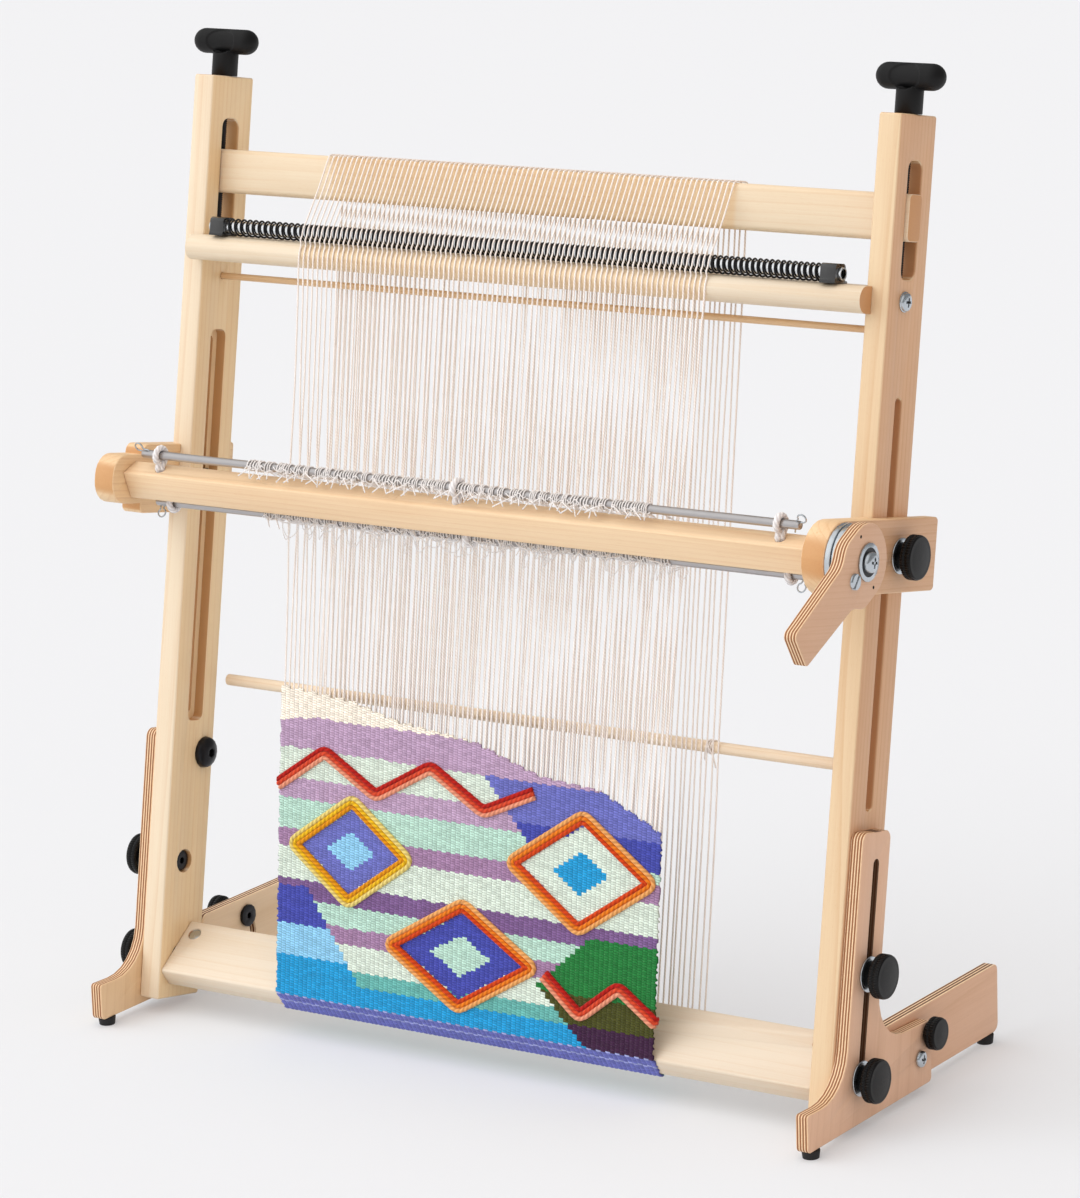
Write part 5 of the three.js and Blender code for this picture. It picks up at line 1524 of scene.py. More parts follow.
@dataclass
class Tension(Assembly):
    """Threaded rods and T-handles that lift the top beam."""

    rod_diameter: float = 11.0
    thread_pitch: float = 2.0
    rod_bottom: float = 726.0
    post_length: float = 882.0
    handle_height: float = 44.5
    handle_length: float = 68.0
    grip_diameter: float = 23.7
    stem_diameter: float = 24.5
    rod_x: float = 369.9
    rod_depth: float = 31.75
    panel: tuple[float, float] = (15.5, 11.2)
    sunk: float = 1.0

    def thread(self, x: float) -> Patch:
        """A rod with a real thread cut along it.

        Args:
            x: the rod's place across the loom.

        Returns:
            The rod.
        """
        root, crest = self.rod_diameter / 2 - 0.9, self.rod_diameter / 2
        sides, rows_a_turn = 20, 4
        length = self.post_length - 2 - self.rod_bottom
        rows = int(length / self.thread_pitch * rows_a_turn)
        patch = Patch(faces=bands(range(rows + 1), sides).faces)
        for i in range(rows + 1):
            for j in range(sides):
                phase = (i / rows_a_turn - j / sides) % 1.0
                radius = root + (crest - root) * (1 - abs(2 * phase - 1))
                angle = 2 * pi * j / sides
                place = self.at(
                    x + radius * cos(angle),
                    self.rod_depth + radius * sin(angle),
                    self.rod_bottom + i * self.thread_pitch / rows_a_turn,
                )
                patch.points.append(place)
        return patch

    def handle(self, x: float, turn: float) -> Patch:
        """A T-handle whose stem and grip meet in a sharp mitre.

        Args:
            x: the rod's place.
            turn: how far the grip is turned about the rod.

        Returns:
            The handle.
        """
        r, half = self.grip_diameter / 2, self.handle_length / 2
        s, middle = self.stem_diameter / 2, self.handle_height - r
        wide, tall = self.panel

        def on_panel(along: float, up: float) -> bool:
            """Whether a place on the grip's face lies in its sunk oval."""
            return (along / wide) ** 2 + (up / tall) ** 2 < 1

        quarter = [k * pi / 16 for k in range(9)]
        dome = [(r * sin(a), half - r + r * cos(a)) for a in quarter]
        rows = [(a, -b) for a, b in dome]
        rows += [(r, float(v)) for v in np.linspace(-wide - 1, wide + 1, 36)]
        rows += [(a, b) for a, b in reversed(dome)]

        def sunk_oval(row: int, angle: float) -> float:
            """Sinks the grip's face in its oval."""
            return -self.sunk if on_panel(rows[row][1], r * sin(angle)) else 0.0

        grip = turned(rows, 96, sunk_oval)
        posts = [(0.0, 0.3), (s - 0.5, 0.3), (s, 0.8)]
        posts += [(s, float(v)) for v in np.linspace(middle - r - 1, middle, 14)]
        posts += [(s * cos(a), middle + (r - 1.2) * sin(a)) for a in quarter[1:]]

        def kept_under(row: int, angle: float) -> float:
            """Keeps the stem behind the grip's sunk oval.

            Args:
                row: which row of the stem.
                angle: where round it.

            Returns:
                How far it is drawn in, as a negative length.
            """
            radius, height = posts[row]
            up, face = height - middle, abs(cos(angle))
            if up < -r or not (up > 0 or on_panel(radius * sin(angle), up)):
                return 0.0
            room = sqrt(max((r - self.sunk - 0.2) ** 2 - up**2, 0.01))
            return min(room / max(face, 0.05) - radius, 0.0)

        stem = turned(posts, 96, kept_under).moved(Matrix.Rotation(-pi / 2, 4, "Y"))
        handle = grip.moved(Matrix.Translation((0, 0, middle * MM))).take(stem)
        base = self.at(x, self.rod_depth, self.post_length)
        lean = Matrix.Rotation(-self.axes.lean, 4, "X")
        return handle.moved(Matrix.Translation(base) @ lean @ Matrix.Rotation(turn, 4, "Z"))

    def build(self) -> None:
        """Makes both rods and both handles."""
        turns = {Side.LEFT: radians(4), Side.RIGHT: radians(-3)}
        for side in Side:
            body = f"tension_{side.word}"
            rod = self.thread(side.value * self.rod_x)
            name, node = f"threaded_rod_{side.word}", f"tension_rod_{side.word}"
            fitted(rod, name, self.finishes.black_steel, body, "black_steel", node)
            grip = self.handle(side.value * self.rod_x, turns[side])
            name, node = f"t_handle_{side.word}", f"tension_handle_{side.word}"
            fitted(grip, name, self.finishes.plastic, body, "black_plastic", node)
            log.info("built the %s tension rod and handle", side.word)


@dataclass
class SpringRail(Assembly):
    """The coiled spring that spaces the warp, on its bright tube with two clips."""

    half_length: float = 320.2
    depth: float = -10.5
    height: float = 740.8
    wire: float = 2.0
    outer: float = 17.0
    left_pitch: float = 7.1
    right_pitch: float = 6.0
    warp_from: float = WARP_LEFT
    warp_to: float = WARP_RIGHT
    threads: int = 82

    def coils(self) -> list[float]:
        """Where each coil passes behind the tube: in the warp, once at each thread.

        Returns:
            Places across the loom, in millimetres.
        """
        left = round((self.warp_from + self.half_length) / self.left_pitch)
        right = round((self.half_length - self.warp_to) / self.right_pitch)
        runs = (
            np.linspace(-self.half_length, self.warp_from, left, endpoint=False),
            np.linspace(self.warp_from, self.warp_to, self.threads - 1, endpoint=False),
            np.linspace(self.warp_to, self.half_length, right + 1),
        )
        return [float(x) for run in runs for x in run]

    def build(self) -> None:
        """Winds the spring, and dresses its tube and clips."""
        radius = (self.outer - self.wire) / 2
        line, steps = [], 20
        places = self.coils()
        for one, two in zip(places, places[1:]):
            for k in range(steps):
                share = k / steps
                angle = 2 * pi * share
                x = one + (two - one) * share
                out, up = radius * cos(angle), radius * sin(angle)
                line.append(self.at(x, self.depth + out, self.height + up))
        line.append(self.at(places[-1], self.depth + radius, self.height))
        spring = tube(line, self.wire / 2 * MM, 8)
        black = self.finishes.black_steel
        fitted(spring, "coiled_spring", black, "frame", "black_steel", "spacing_spring")
        dress("spring_tube", self.finishes.bright)
        for side in Side:
            dress(f"spring_clip_{side.word}", self.finishes.gloss, 0.5)
        log.info("wound the spring in %d coils", len(places) - 1)


@dataclass
class Hardware(Assembly):
    """Bolts, screws, discs, feet and knobs."""

    leg_knob_x: float = 394.3
    leg_bolt_depth: float = SLOT_DEPTH
    leg_bolts_up: tuple[float, float] = (39.3, 132.0)
    arm_knob_x: float = 393.6
    arm_up: float = PIVOT_UP
    arm_depth: float = 31.75
    spacer_screw_up: float = 720.0
    spacer_screw_depth: float = SLOT_DEPTH
    post_face: float = 381.0

    def build(self) -> None:
        """Dresses the CAD hardware and adds what is too small for it."""
        self.dress_nodes()
        self.build_knobs()
        self.build_screws()

    def dress_nodes(self) -> None:
        """Finishes for the metal and rubber nodes."""
        f = self.finishes
        for side in Side:
            w = side.word
            for bolt in ("dome_bolt", "leg_bolt_lower", "leg_bolt_upper", "rear_bolt", "arm_bolt"):
                dress(f"{bolt}_{w}", f.black_steel, 0.3)
            for bolt in ("beam_bolt", "rear_pivot"):
                dress(f"{bolt}_{w}", f.zinc, 0.3)
            for foot in ("front_foot", "rear_foot"):
                dress(f"{foot}_{w}", f.rubber, 0.4)
        dress("bar_pin_left", f.zinc, 0.3)
        dress("shed_shaft", f.zinc, 0.3)
        dress("index_disc", f.disc_steel, 0.35)
        dress("clutch_disc", f.disc_steel, 0.35)

    def build_knobs(self) -> None:
        """Knurled knobs in place of the plain ones."""
        large = Knob(self.axes, self.finishes)
        small = Knob(self.axes, self.finishes, 30.0, 22.0, 0.0, 0.0, 1.5, 11.8, 36)
        for side in Side:
            w, s = side.word, side.value
            for place, up in zip(("lower", "upper"), self.leg_bolts_up):
                at = self.at(s * self.leg_knob_x, self.leg_bolt_depth, up)
                large.build(f"leg_knob_{place}_{w}", side, at)
            at = self.at(s * self.arm_knob_x, self.arm_depth, self.arm_up)
            large.build(f"arm_knob_{w}", side, at)
            low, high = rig.box(f"rear_knob_{w}")
            middle = (low + high) / 2
            seat = low.x if side is Side.RIGHT else high.x
            small.build(f"rear_knob_{w}", side, Vector((seat, middle.y, middle.z)))
            log.info("built the %s knobs", w)

    def build_screws(self) -> None:
        """Pan-head screws with washers on the posts, and the heads of the rear legs' pivots."""
        fastener = Fastener(self.axes, self.finishes)
        for side in Side:
            face = side.value * self.post_face
            at = self.at(face, self.spacer_screw_depth, self.spacer_screw_up)
            washer = turned([(3.0, 0.05), (9.0, 0.05), (9.2, 0.35), (9.0, 1.2), (3.0, 1.3)], 40)
            fastener.fixed(washer, side, at, f"spacer_washer_{side.word}", self.finishes.zinc, "frame")
            outward = Vector((side.value * 1.1 * MM, 0, 0))
            # Each screw's recess holds a dark cross of painted shade.
            names = (f"spacer_screw_{side.word}", f"spacer_recess_{side.word}")
            fastener.crossed(names, (8.2, 3.9), (3.4, 0.8, 3.6), side, at + outward, "frame")
            low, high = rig.box(f"rear_pivot_{side.word}")
            middle = (low + high) / 2
            outer = high.x if side is Side.RIGHT else low.x
            at = Vector((outer - side.value * 3.2 * MM, middle.y, middle.z))
            # The pivot head's recess holds a dark cross of painted shade.
            names = (f"pivot_head_{side.word}", f"pivot_recess_{side.word}")
            fastener.crossed(names, (7.6, 3.9), (3.2, 0.8, 3.55), side, at, f"leg_{side.word}")
        log.info("built the spacer beam's screws")


@dataclass
class Threads(Assembly):
    """The warp: front and back layers over the spring and both beams."""

    count: int = 82
    radius: float = 0.82
    left: float = WARP_LEFT
    right: float = WARP_RIGHT
    cloth_left: float = -226.3
    cloth_right: float = 191.9
    seed: int = 11
    front_corner: tuple[float, float] = (1.45, 28.1)
    back_corner: tuple[float, float] = (62.9, 57.5)
    nose: float = -21.6
    spacer_middle: float = 720.0
    spacer_top: float = 732.0
    lean: float = -2.5
    knot_at: float = 199.0

    def across(self, i: int) -> float:
        """Where a thread passes the spring."""
        return self.left + (self.right - self.left) * i / (self.count - 1)

    def at_cloth(self, i: int) -> float:
        """Where a thread enters the cloth."""
        return self.cloth_left + (self.cloth_right - self.cloth_left) * i / (self.count - 1)

    def depth(self, up: float) -> float:
        """Depth of the stretched front layer at a height."""
        share = (up - self.front_corner[1]) / (self.spacer_middle - self.front_corner[1])
        return self.front_corner[0] + (self.nose - self.front_corner[0]) * share

    def edge(self, x: float) -> float:
        """Height of the cloth's woven edge."""
        steps = [(-229, 318), (-150, 312), (-92, 298), (-10, 290), (60, 268), (128, 262), (194, 232)]
        return float(np.interp(x, [a for a, _ in steps], [b for _, b in steps]))

    def strand(self, line: list[Point], share: float = 1.0) -> Patch:
        """One thread through places in the loom's axes, its radius times a share."""
        return tube(eased_run([self.at(*p) for p in line], 3), self.radius * MM * share, 6)

    def front(self) -> Patch:
        """Threads from the cloth to the spacer beam and through the spring.

        Returns:
            All the front threads.
        """
        chance = random.Random(self.seed)
        patch = Patch()
        for i in range(self.count):
            low, high = self.at_cloth(i), self.across(i)
            edge = self.edge(low)
            shed = 1.6 if i % 2 else -1.6
            pull = chance.uniform(-1.0, 1.0)
            line = [(low, self.depth(edge - 14) + 0.6, edge - 14), (low, self.depth(edge), edge + 1)]
            for up in (380, 440, 490, 530, 600, 670):
                share = (up - edge) / (self.spacer_middle - edge)
                draw = exp(-(((up - PIVOT_UP) / 60) ** 2))
                sway = pull * sin(pi * share) * 0.9 + (0.9 if i % 2 else -0.9) * draw
                line.append((low + (high - low) * share + sway, self.depth(up) + shed * draw * 1.6, up))
            line += [
                (high, self.nose, 708.0),
                (high, self.nose - 0.3, self.spacer_middle - 3),
                (high, self.nose + 0.3, self.spacer_middle + 3),
                (high, self.nose + 2.2, self.spacer_top - 1.8),
            ]
            patch.take(self.strand(line, chance.uniform(0.9, 1.1)))
        return patch

    def over(self) -> Patch:
        """Threads from the spring up and over the top beam.

        Returns:
            The threads over the top.
        """
        chance = random.Random(self.seed + 1)
        over_beam = [(18.2, 809.8), (20.9, 813.4), (25.0, 814.5)]
        over_beam += [(38.5, 814.5), (42.6, 812.8), (44.0, 808.0)]
        patch = Patch()
        for i in range(self.count):
            x = self.across(i)
            lean = x + self.lean + chance.uniform(-0.35, 0.35)
            line = [
                (x, self.nose + 2.2, self.spacer_top - 1.8),
                *((x, depth, up) for depth, up in ((-21.2, 734.0), (-19.0, 738.5), (-17.9, 744.0))),
                (x - 0.2, -13.4, 752.0),
                ((x + lean) / 2, 3.0, 780.0),
                *((lean, depth, up) for depth, up in over_beam),
            ]
            patch.take(self.strand(line))
        return patch

    def behind(self) -> Patch:
        """Threads down the back, round the warping bar and on to the bottom beam.

        Returns:
            The threads behind.
        """
        chance = random.Random(self.seed + 2)
        patch = Patch()
        for i in range(self.count):
            top = self.across(i) + self.lean
            low = self.across(i) + chance.uniform(-1.5, 1.5)
            line = [(top, 44.0, 809.0), (top, 44.3, 800.0)]
            for up in (690, 560, 430, 320):
                share = (809 - up) / (809 - 58)
                x = top + (low - top) * share + chance.uniform(-0.8, 0.8)
                line.append((x, 44.0 + 19.5 * share, up))
            line += [(low, 59.8, 220.0), (low, 63.6, 62.0), (low, 63.2, 56.2), (low, 58.0, 50.0)]
            patch.take(self.strand(line))
        return patch

    def bar_knot(self) -> Patch:
        """The warp's own end, wound round the warping bar and tied off with two tails.

        Returns:
            The wound end and its tails.
        """
        low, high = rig.box("warp_bar")
        middle, radius = (low + high) / 2, (high.z - low.z) / 2 + 0.8 * MM
        patch = Patch()

        def beside(shift: float, angle: float, grow: float = 0.0) -> Vector:
            """A place round the bar."""
            out, x = radius + grow * MM, self.knot_at * MM + self.axes.origin.x + shift * MM
            return Vector((x, middle.y - out * cos(angle), middle.z + out * sin(angle)))

        wound = [beside(-3.0 + 6.0 * k / 40, 2 * pi * 2.5 * k / 40) for k in range(41)]
        patch.take(tube(wound, 0.85 * MM, 6))
        for side in (-1, 1):
            tail = [beside(0, 0.4, 0.6), beside(1.5 * side, 0.1, 2.2), beside(4.5 * side, -0.8, 3.5)]
            tail.append(beside(6.0 * side, -1.3, 9.0 + 3 * side))
            patch.string(tail, 0.75, 4, 6)
        return patch

    def build(self) -> None:
        """Makes the three runs of warp."""
        front = self.front().to_object("warp_threads_front", self.finishes.warp)
        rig.replaces(front, "warp_front")
        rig.ride(front, "frame")
        over = self.over().to_object("warp_threads_over", self.finishes.warp)
        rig.replaces(over, "warp_back")
        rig.blend(over, "frame", "top_beam", self.at(0, 0, 752), self.at(0, 0, 806))
        behind = self.behind().to_object("warp_threads_behind", self.finishes.warp)
        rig.replaces(behind, "warp_back")
        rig.blend(behind, "frame", "top_beam", self.at(0, 60, 62), self.at(0, 60, 800))
        knot = self.bar_knot().to_object("warp_end_knot", self.finishes.warp)
        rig.ride(knot, "frame")
        for piece in (front, over, behind, knot):
            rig.slot(piece, "warp_yarn")
        log.info("strung %d warp threads", self.count)


class Dye(Enum):
    """Weft colours of the sample cloth."""

    CREAM = "F6EEE0"
    LILAC = "B79CBB"
    MAUVE = "A07FA4"
    VIOLET = "7A5C8E"
    PALE = "D3E2D6"
    MINT = "B4D8CA"
    PERIWINKLE = "6A70BE"
    HAZE = "9CA4D8"
    INDIGO = "444CAA"
    SKY = "8CC8EC"
    AZURE = "2298D2"
    TEAL = "66B2AC"
    GREEN = "23793A"
    OLIVE = "474A1E"
    PLUM = "3E2240"


@dataclass
class Cloth(Assembly):
    """A woven sample: bands and blocks of colour, with raised zigzags and diamonds of thick yarn."""

    threads: Threads
    left_low: tuple[float, float] = (-220.5, 30.0)
    left_high: tuple[float, float] = (-229.0, 300.0)
    right_low: tuple[float, float] = (198.0, 30.0)
    right_high: tuple[float, float] = (194.5, 226.0)
    pick: float = 1.15
    ends: int = 82
    steps: int = 4
    seed: int = 5
    half_height: float = 150.0
    stepped_off: float = 52.0
    wrap: float = 0.62
    lift: float = 0.6
    yarn_pitch: float = 4.1

    def edges(self, up: float) -> tuple[float, float]:
        """Where the cloth's two sides lie.

        Args:
            up: height up the posts.

        Returns:
            The left and the right side's x.
        """
        sides = []
        for (x0, u0), (x1, u1) in ((self.left_low, self.left_high), (self.right_low, self.right_high)):
            share = (max(up, 24.0) - u0) / (u1 - u0)
            sides.append(x0 + (x1 - x0) * share)
        return sides[0], sides[1]

    def path(self) -> tuple[list[float], list[tuple[float, float]]]:
        """The cloth's run from its end under the bottom beam to above its edge.

        Returns:
            The length run at each point, in millimetres, and the points' depths and heights.
        """
        low_corner = (17.15, 12.35)
        back = self.threads.back_corner
        under = (
            low_corner[0] + (back[0] - low_corner[0]) * self.wrap,
            low_corner[1] + (back[1] - low_corner[1]) * self.wrap - 1.9,
        )
        points = [
            under,
            (low_corner[0] + 3.5, low_corner[1] + 1.3),
            (low_corner[0] + 0.8, low_corner[1] - 1.2),
            (low_corner[0] - 1.4, low_corner[1] - 0.7),
            (2.6, 25.4),
            (0.2, 27.4),
            (-0.5, 29.6),
        ]
        points += [(self.threads.depth(up) - 1.4, up) for up in (60.0, 150.0, 330.0)]
        run = [0.0]
        for one, two in zip(points, points[1:]):
            run.append(run[-1] + dist(one, two))
        return run, points

    def design(self, x: float, up: float) -> Dye:
        """The colour woven at a place, by generic bands, wedges and diamonds.

        Args:
            x: place across the loom.
            up: height up the posts; under the beam it runs below zero.

        Returns:
            The dye.
        """

        def diamond(cx: float, cy: float, w: float, h: float) -> float:
            """How far a place is from a diamond's middle, 1 on its edge."""
            return abs(x - cx) / w + abs(up - cy) / h

        blocks = [
            ((112, 186, 66, 44), 0.46, Dye.PALE, Dye.AZURE),
            ((-142, 172, 58, 40), 0.46, Dye.PERIWINKLE, Dye.SKY),
            ((-14, 92, 70, 40), 0.48, Dye.INDIGO, Dye.MINT),
        ]
        for shape, inner, outside, inside in blocks:
            away = diamond(*shape)
            if away < 1:
                return outside if away > inner else inside
        if up > 300 + 0.12 * (x + 120):
            return Dye.CREAM
        if up < 16:
            return Dye.TEAL if up < 4 else Dye.PERIWINKLE
        if up < 28:
            return Dye.PERIWINKLE if int(up / 3) % 3 else Dye.HAZE
        if up < 128 and x > 70 + abs(up - 78) * 1.1:
            return Dye.GREEN if up > 74 else Dye.OLIVE if up > 48 else Dye.PLUM
        if up < 132 and x < -112 - (up - 28) * 0.75:
            return Dye.AZURE if up < 66 else Dye.SKY if up < 96 else Dye.INDIGO
        if 196 < up < 262 and x > 62 - (up - 196) * 0.9:
            return Dye.PERIWINKLE if up > 224 else Dye.INDIGO
        tops = (46, 60, 84, 100, 120, 138, 168, 186, 214, 234, 262, 292)
        stripes = "AZURE TEAL PALE MAUVE MINT VIOLET PALE MAUVE MINT LILAC PALE LILAC"
        for top, dye in zip(tops, (Dye[name] for name in stripes.split())):
            if up < top:
                return dye
        return Dye.CREAM

    def swelling(self, rows: int, chance: random.Random) -> tuple[Patch, list[float]]:
        """The cloth's points, row by row; each dash of weft swells between two ends of warp.

        Args:
            rows: picks of weft.
            chance: source of the sides' small steps.

        Returns:
            A patch that holds the points, and each row's height.
        """
        run, points = self.path()
        total, beam_edge = run[-1], run[4]
        columns = self.ends * self.steps
        draw = [chance.uniform(-1.0, 1.0) for _ in range(rows + 2)]
        patch, ups = Patch(), []

        def spot(length: float) -> tuple[float, float]:
            """Depth and height at a length of the run."""
            return tuple(float(np.interp(length, run, [p[k] for p in points])) for k in (0, 1))

        for r in range(rows + 1):
            s = total * r / rows
            depth, up = spot(s)
            ups.append(up if s > beam_edge else 26 - (beam_edge - s))
            ahead, behind = spot(s + 2), spot(s - 2)
            slope = atan2(ahead[1] - behind[1], ahead[0] - behind[0])
            out = (-sin(slope), cos(slope))
            if (out[0] > 0 and up > 30) or (up <= 30 and out[1] > 0 and out[0] > -0.5):
                out = (-out[0], -out[1])
            left, right = self.edges(ups[-1])
            for c in range(columns + 1):
                end, part = divmod(c, self.steps)
                pull = draw[r // 2] * (1 if c == 0 else -1 if c == columns else 0)
                dash = sin(pi * ((r + end % 2) / 2 % 1.0))
                high = self.lift * (0.35 + 0.65 * dash) * sin(pi * part / self.steps)
                x = left + (right - left) * c / columns + pull
                patch.points.append(self.at(x, depth + out[0] * high, up + out[1] * high))
        return patch, ups

    def weave(self, rows: int) -> Patch:
        """The woven cloth up to its stepped edge, dyed dash by dash.

        Args:
            rows: picks of weft.

        Returns:
            The cloth.
        """
        chance = random.Random(self.seed)
        patch, ups = self.swelling(rows, chance)
        columns = self.ends * self.steps
        dyes = {}
        for r in range(rows):
            left, right = self.edges(ups[r])
            for c in range(columns):
                end = c // self.steps
                x = left + (right - left) * (c + 0.5) / columns
                if ups[r] > self.threads.edge(x) + 1.2 * sin(end * 2.1):
                    continue
                dash = (r + end % 2) // 2
                if (end, dash) not in dyes:
                    middle = min(max(2 * dash + 1 - end % 2, 0), rows)
                    cell_x = left + (right - left) * (end + 0.5) / self.ends
                    colour = tint(self.design(cell_x, ups[middle] + chance.uniform(-0.15, 0.15)).value)
                    tone = chance.uniform(0.84, 1.10)
                    dyes[end, dash] = tuple(min(part * tone, 1.0) for part in colour[:3]) + (1.0,)
                low, high = r * (columns + 1) + c, (r + 1) * (columns + 1) + c
                patch.faces.append((low, low + 1, high + 1, high))
                u0, u1 = c / self.steps, (c + 1) / self.steps
                patch.corners += [(u0, r), (u1, r), (u1, r + 1), (u0, r + 1)]
                patch.colours.append(dyes[end, dash])
        return patch

    def build(self) -> None:
        """Weaves the cloth and lays the raised yarns on it."""
        total = self.path()[0][-1]
        picks = int(total / self.pick)
        patch = self.weave(picks)
        left, right = self.edges(self.half_height)
        width = right - left
        cloth = patch.to_object("woven_sample", Woven("weft_faced_cloth").material())
        thicken = cloth.modifiers.new("thickness", "SOLIDIFY")
        thicken.thickness = 1.6 * MM
        thicken.offset = -1.0
        thicken.use_rim = True
        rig.replaces(cloth, "tapestry")
        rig.ride(cloth, "frame")
        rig.slot(cloth, "woven_cloth")
        yarns = self.raised_yarns()
        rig.sheet(
            cloth,
            flat=(width * MM, total * MM),
            held="stretched",
            rests_on=["bottom_beam"],
            area=width * (total - self.stepped_off) * MM * MM,
            with_pieces=[yarns],
        )
        log.info("wove the cloth in %d picks", picks)

    def on_cloth(self, x: float, up: float, out: float) -> Vector:
        """A place on the cloth's face, or set off it by a distance in millimetres."""
        return self.at(x, self.threads.depth(up) - 1.7 - out, up)

    def raised_yarns(self) -> Piece:
        """Zigzags and diamonds of three thick yarns side by side.

        Returns:
            The yarns' object.
        """
        reds = ("C01A10", "E5502F", "F6A585")
        oranges = ("DE4A10", "F4861A", "F9B56B")
        yellows = ("EFA008", "F8C81C", "F6E486")
        low, high = self.edges(240.0)
        motifs = [
            (reds, [(low, 226), (-176, 262), (-116, 228), (-56, 262), (4, 228), (58, 252)]),
            (oranges, [(112, 238), (36, 186), (112, 134), (188, 186), (112, 238)]),
            (yellows, [(-142, 220), (-208, 172), (-142, 124), (-76, 172), (-142, 220)]),
            (oranges, [(-14, 140), (-94, 92), (-14, 44), (66, 92), (-14, 140)]),
            (reds, [(78, 88), (118, 56), (158, 88), (self.edges(60.0)[1], 62)]),
        ]
        patch = Patch()
        for colours, corners in motifs:
            for k, colour in enumerate(colours):
                line = self.rounded_run(corners, (1 - k) * self.yarn_pitch)
                strand = self.spun_strand(line)
                strand.colours = [tint(colour)] * len(strand.faces)
                patch.take(strand)
        finish = Spun("thick_yarn", "FFFFFF", "BDB2AF", 0.0056, 2.0, 0.0004, dyed=True)
        return fitted(patch, "raised_yarn", finish.material(), "frame", "woven_cloth")

    def rounded_run(self, corners: list[tuple[float, float]], inset: float) -> list[Vector]:
        """A run along corners with its turns rounded, set to one side.

        Args:
            corners: (x, up) places.
            inset: distance to the side of the run.

        Returns:
            Places on the cloth.
        """
        closed = corners[0] == corners[-1]
        path = [Vector((a, b)) for a, b in corners]
        flat = []
        for one, two in zip(path, path[1:]):
            steps = max(int((two - one).length / 2.5), 2)
            flat += [one.lerp(two, k / steps) for k in range(steps)]
        flat.append(path[-1])
        smooth = flat
        for _ in range(5):
            count = len(smooth)
            eased = []
            for k, p in enumerate(smooth):
                if closed:
                    a, b = smooth[(k - 1) % (count - 1)], smooth[(k + 1) % (count - 1)]
                elif k in (0, count - 1):
                    eased.append(p)
                    continue
                else:
                    a, b = smooth[k - 1], smooth[k + 1]
                eased.append((a + p * 2 + b) / 4)
            smooth = eased
        run = []
        for k, p in enumerate(smooth):
            before, after = smooth[max(k - 1, 0)], smooth[min(k + 1, len(smooth) - 1)]
            if closed and k in (0, len(smooth) - 1):
                before, after = smooth[-2], smooth[1]
            along = (after - before).normalized()
            aside = Vector((-along.y, along.x)) * inset
            spot = p + aside
            left, right = self.edges(spot.y)
            held = min(max(spot.x, left - 0.6), right + 0.6)
            run.append(self.on_cloth(held, spot.y, 0.9))
        for k, side in ((0, -1), (len(run) - 1, 1)):
            edge = self.edges(smooth[k].y)[0 if side < 0 else 1]
            if not closed and abs(smooth[k].x - edge) < 3:
                turned_in = run[k] + self.axes.along(-side * -1.6, 3.4, 0) * MM
                run = [turned_in, *run] if side < 0 else [*run, turned_in]
        return run

    def spun_strand(self, line: list[Vector]) -> Patch:
        """A thick strand whose width swells and narrows along a line."""
        radii = [(2.2 + 0.10 * sin(k * 2.3)) * MM for k in range(len(line))]
        return tube(line, radii, 10)


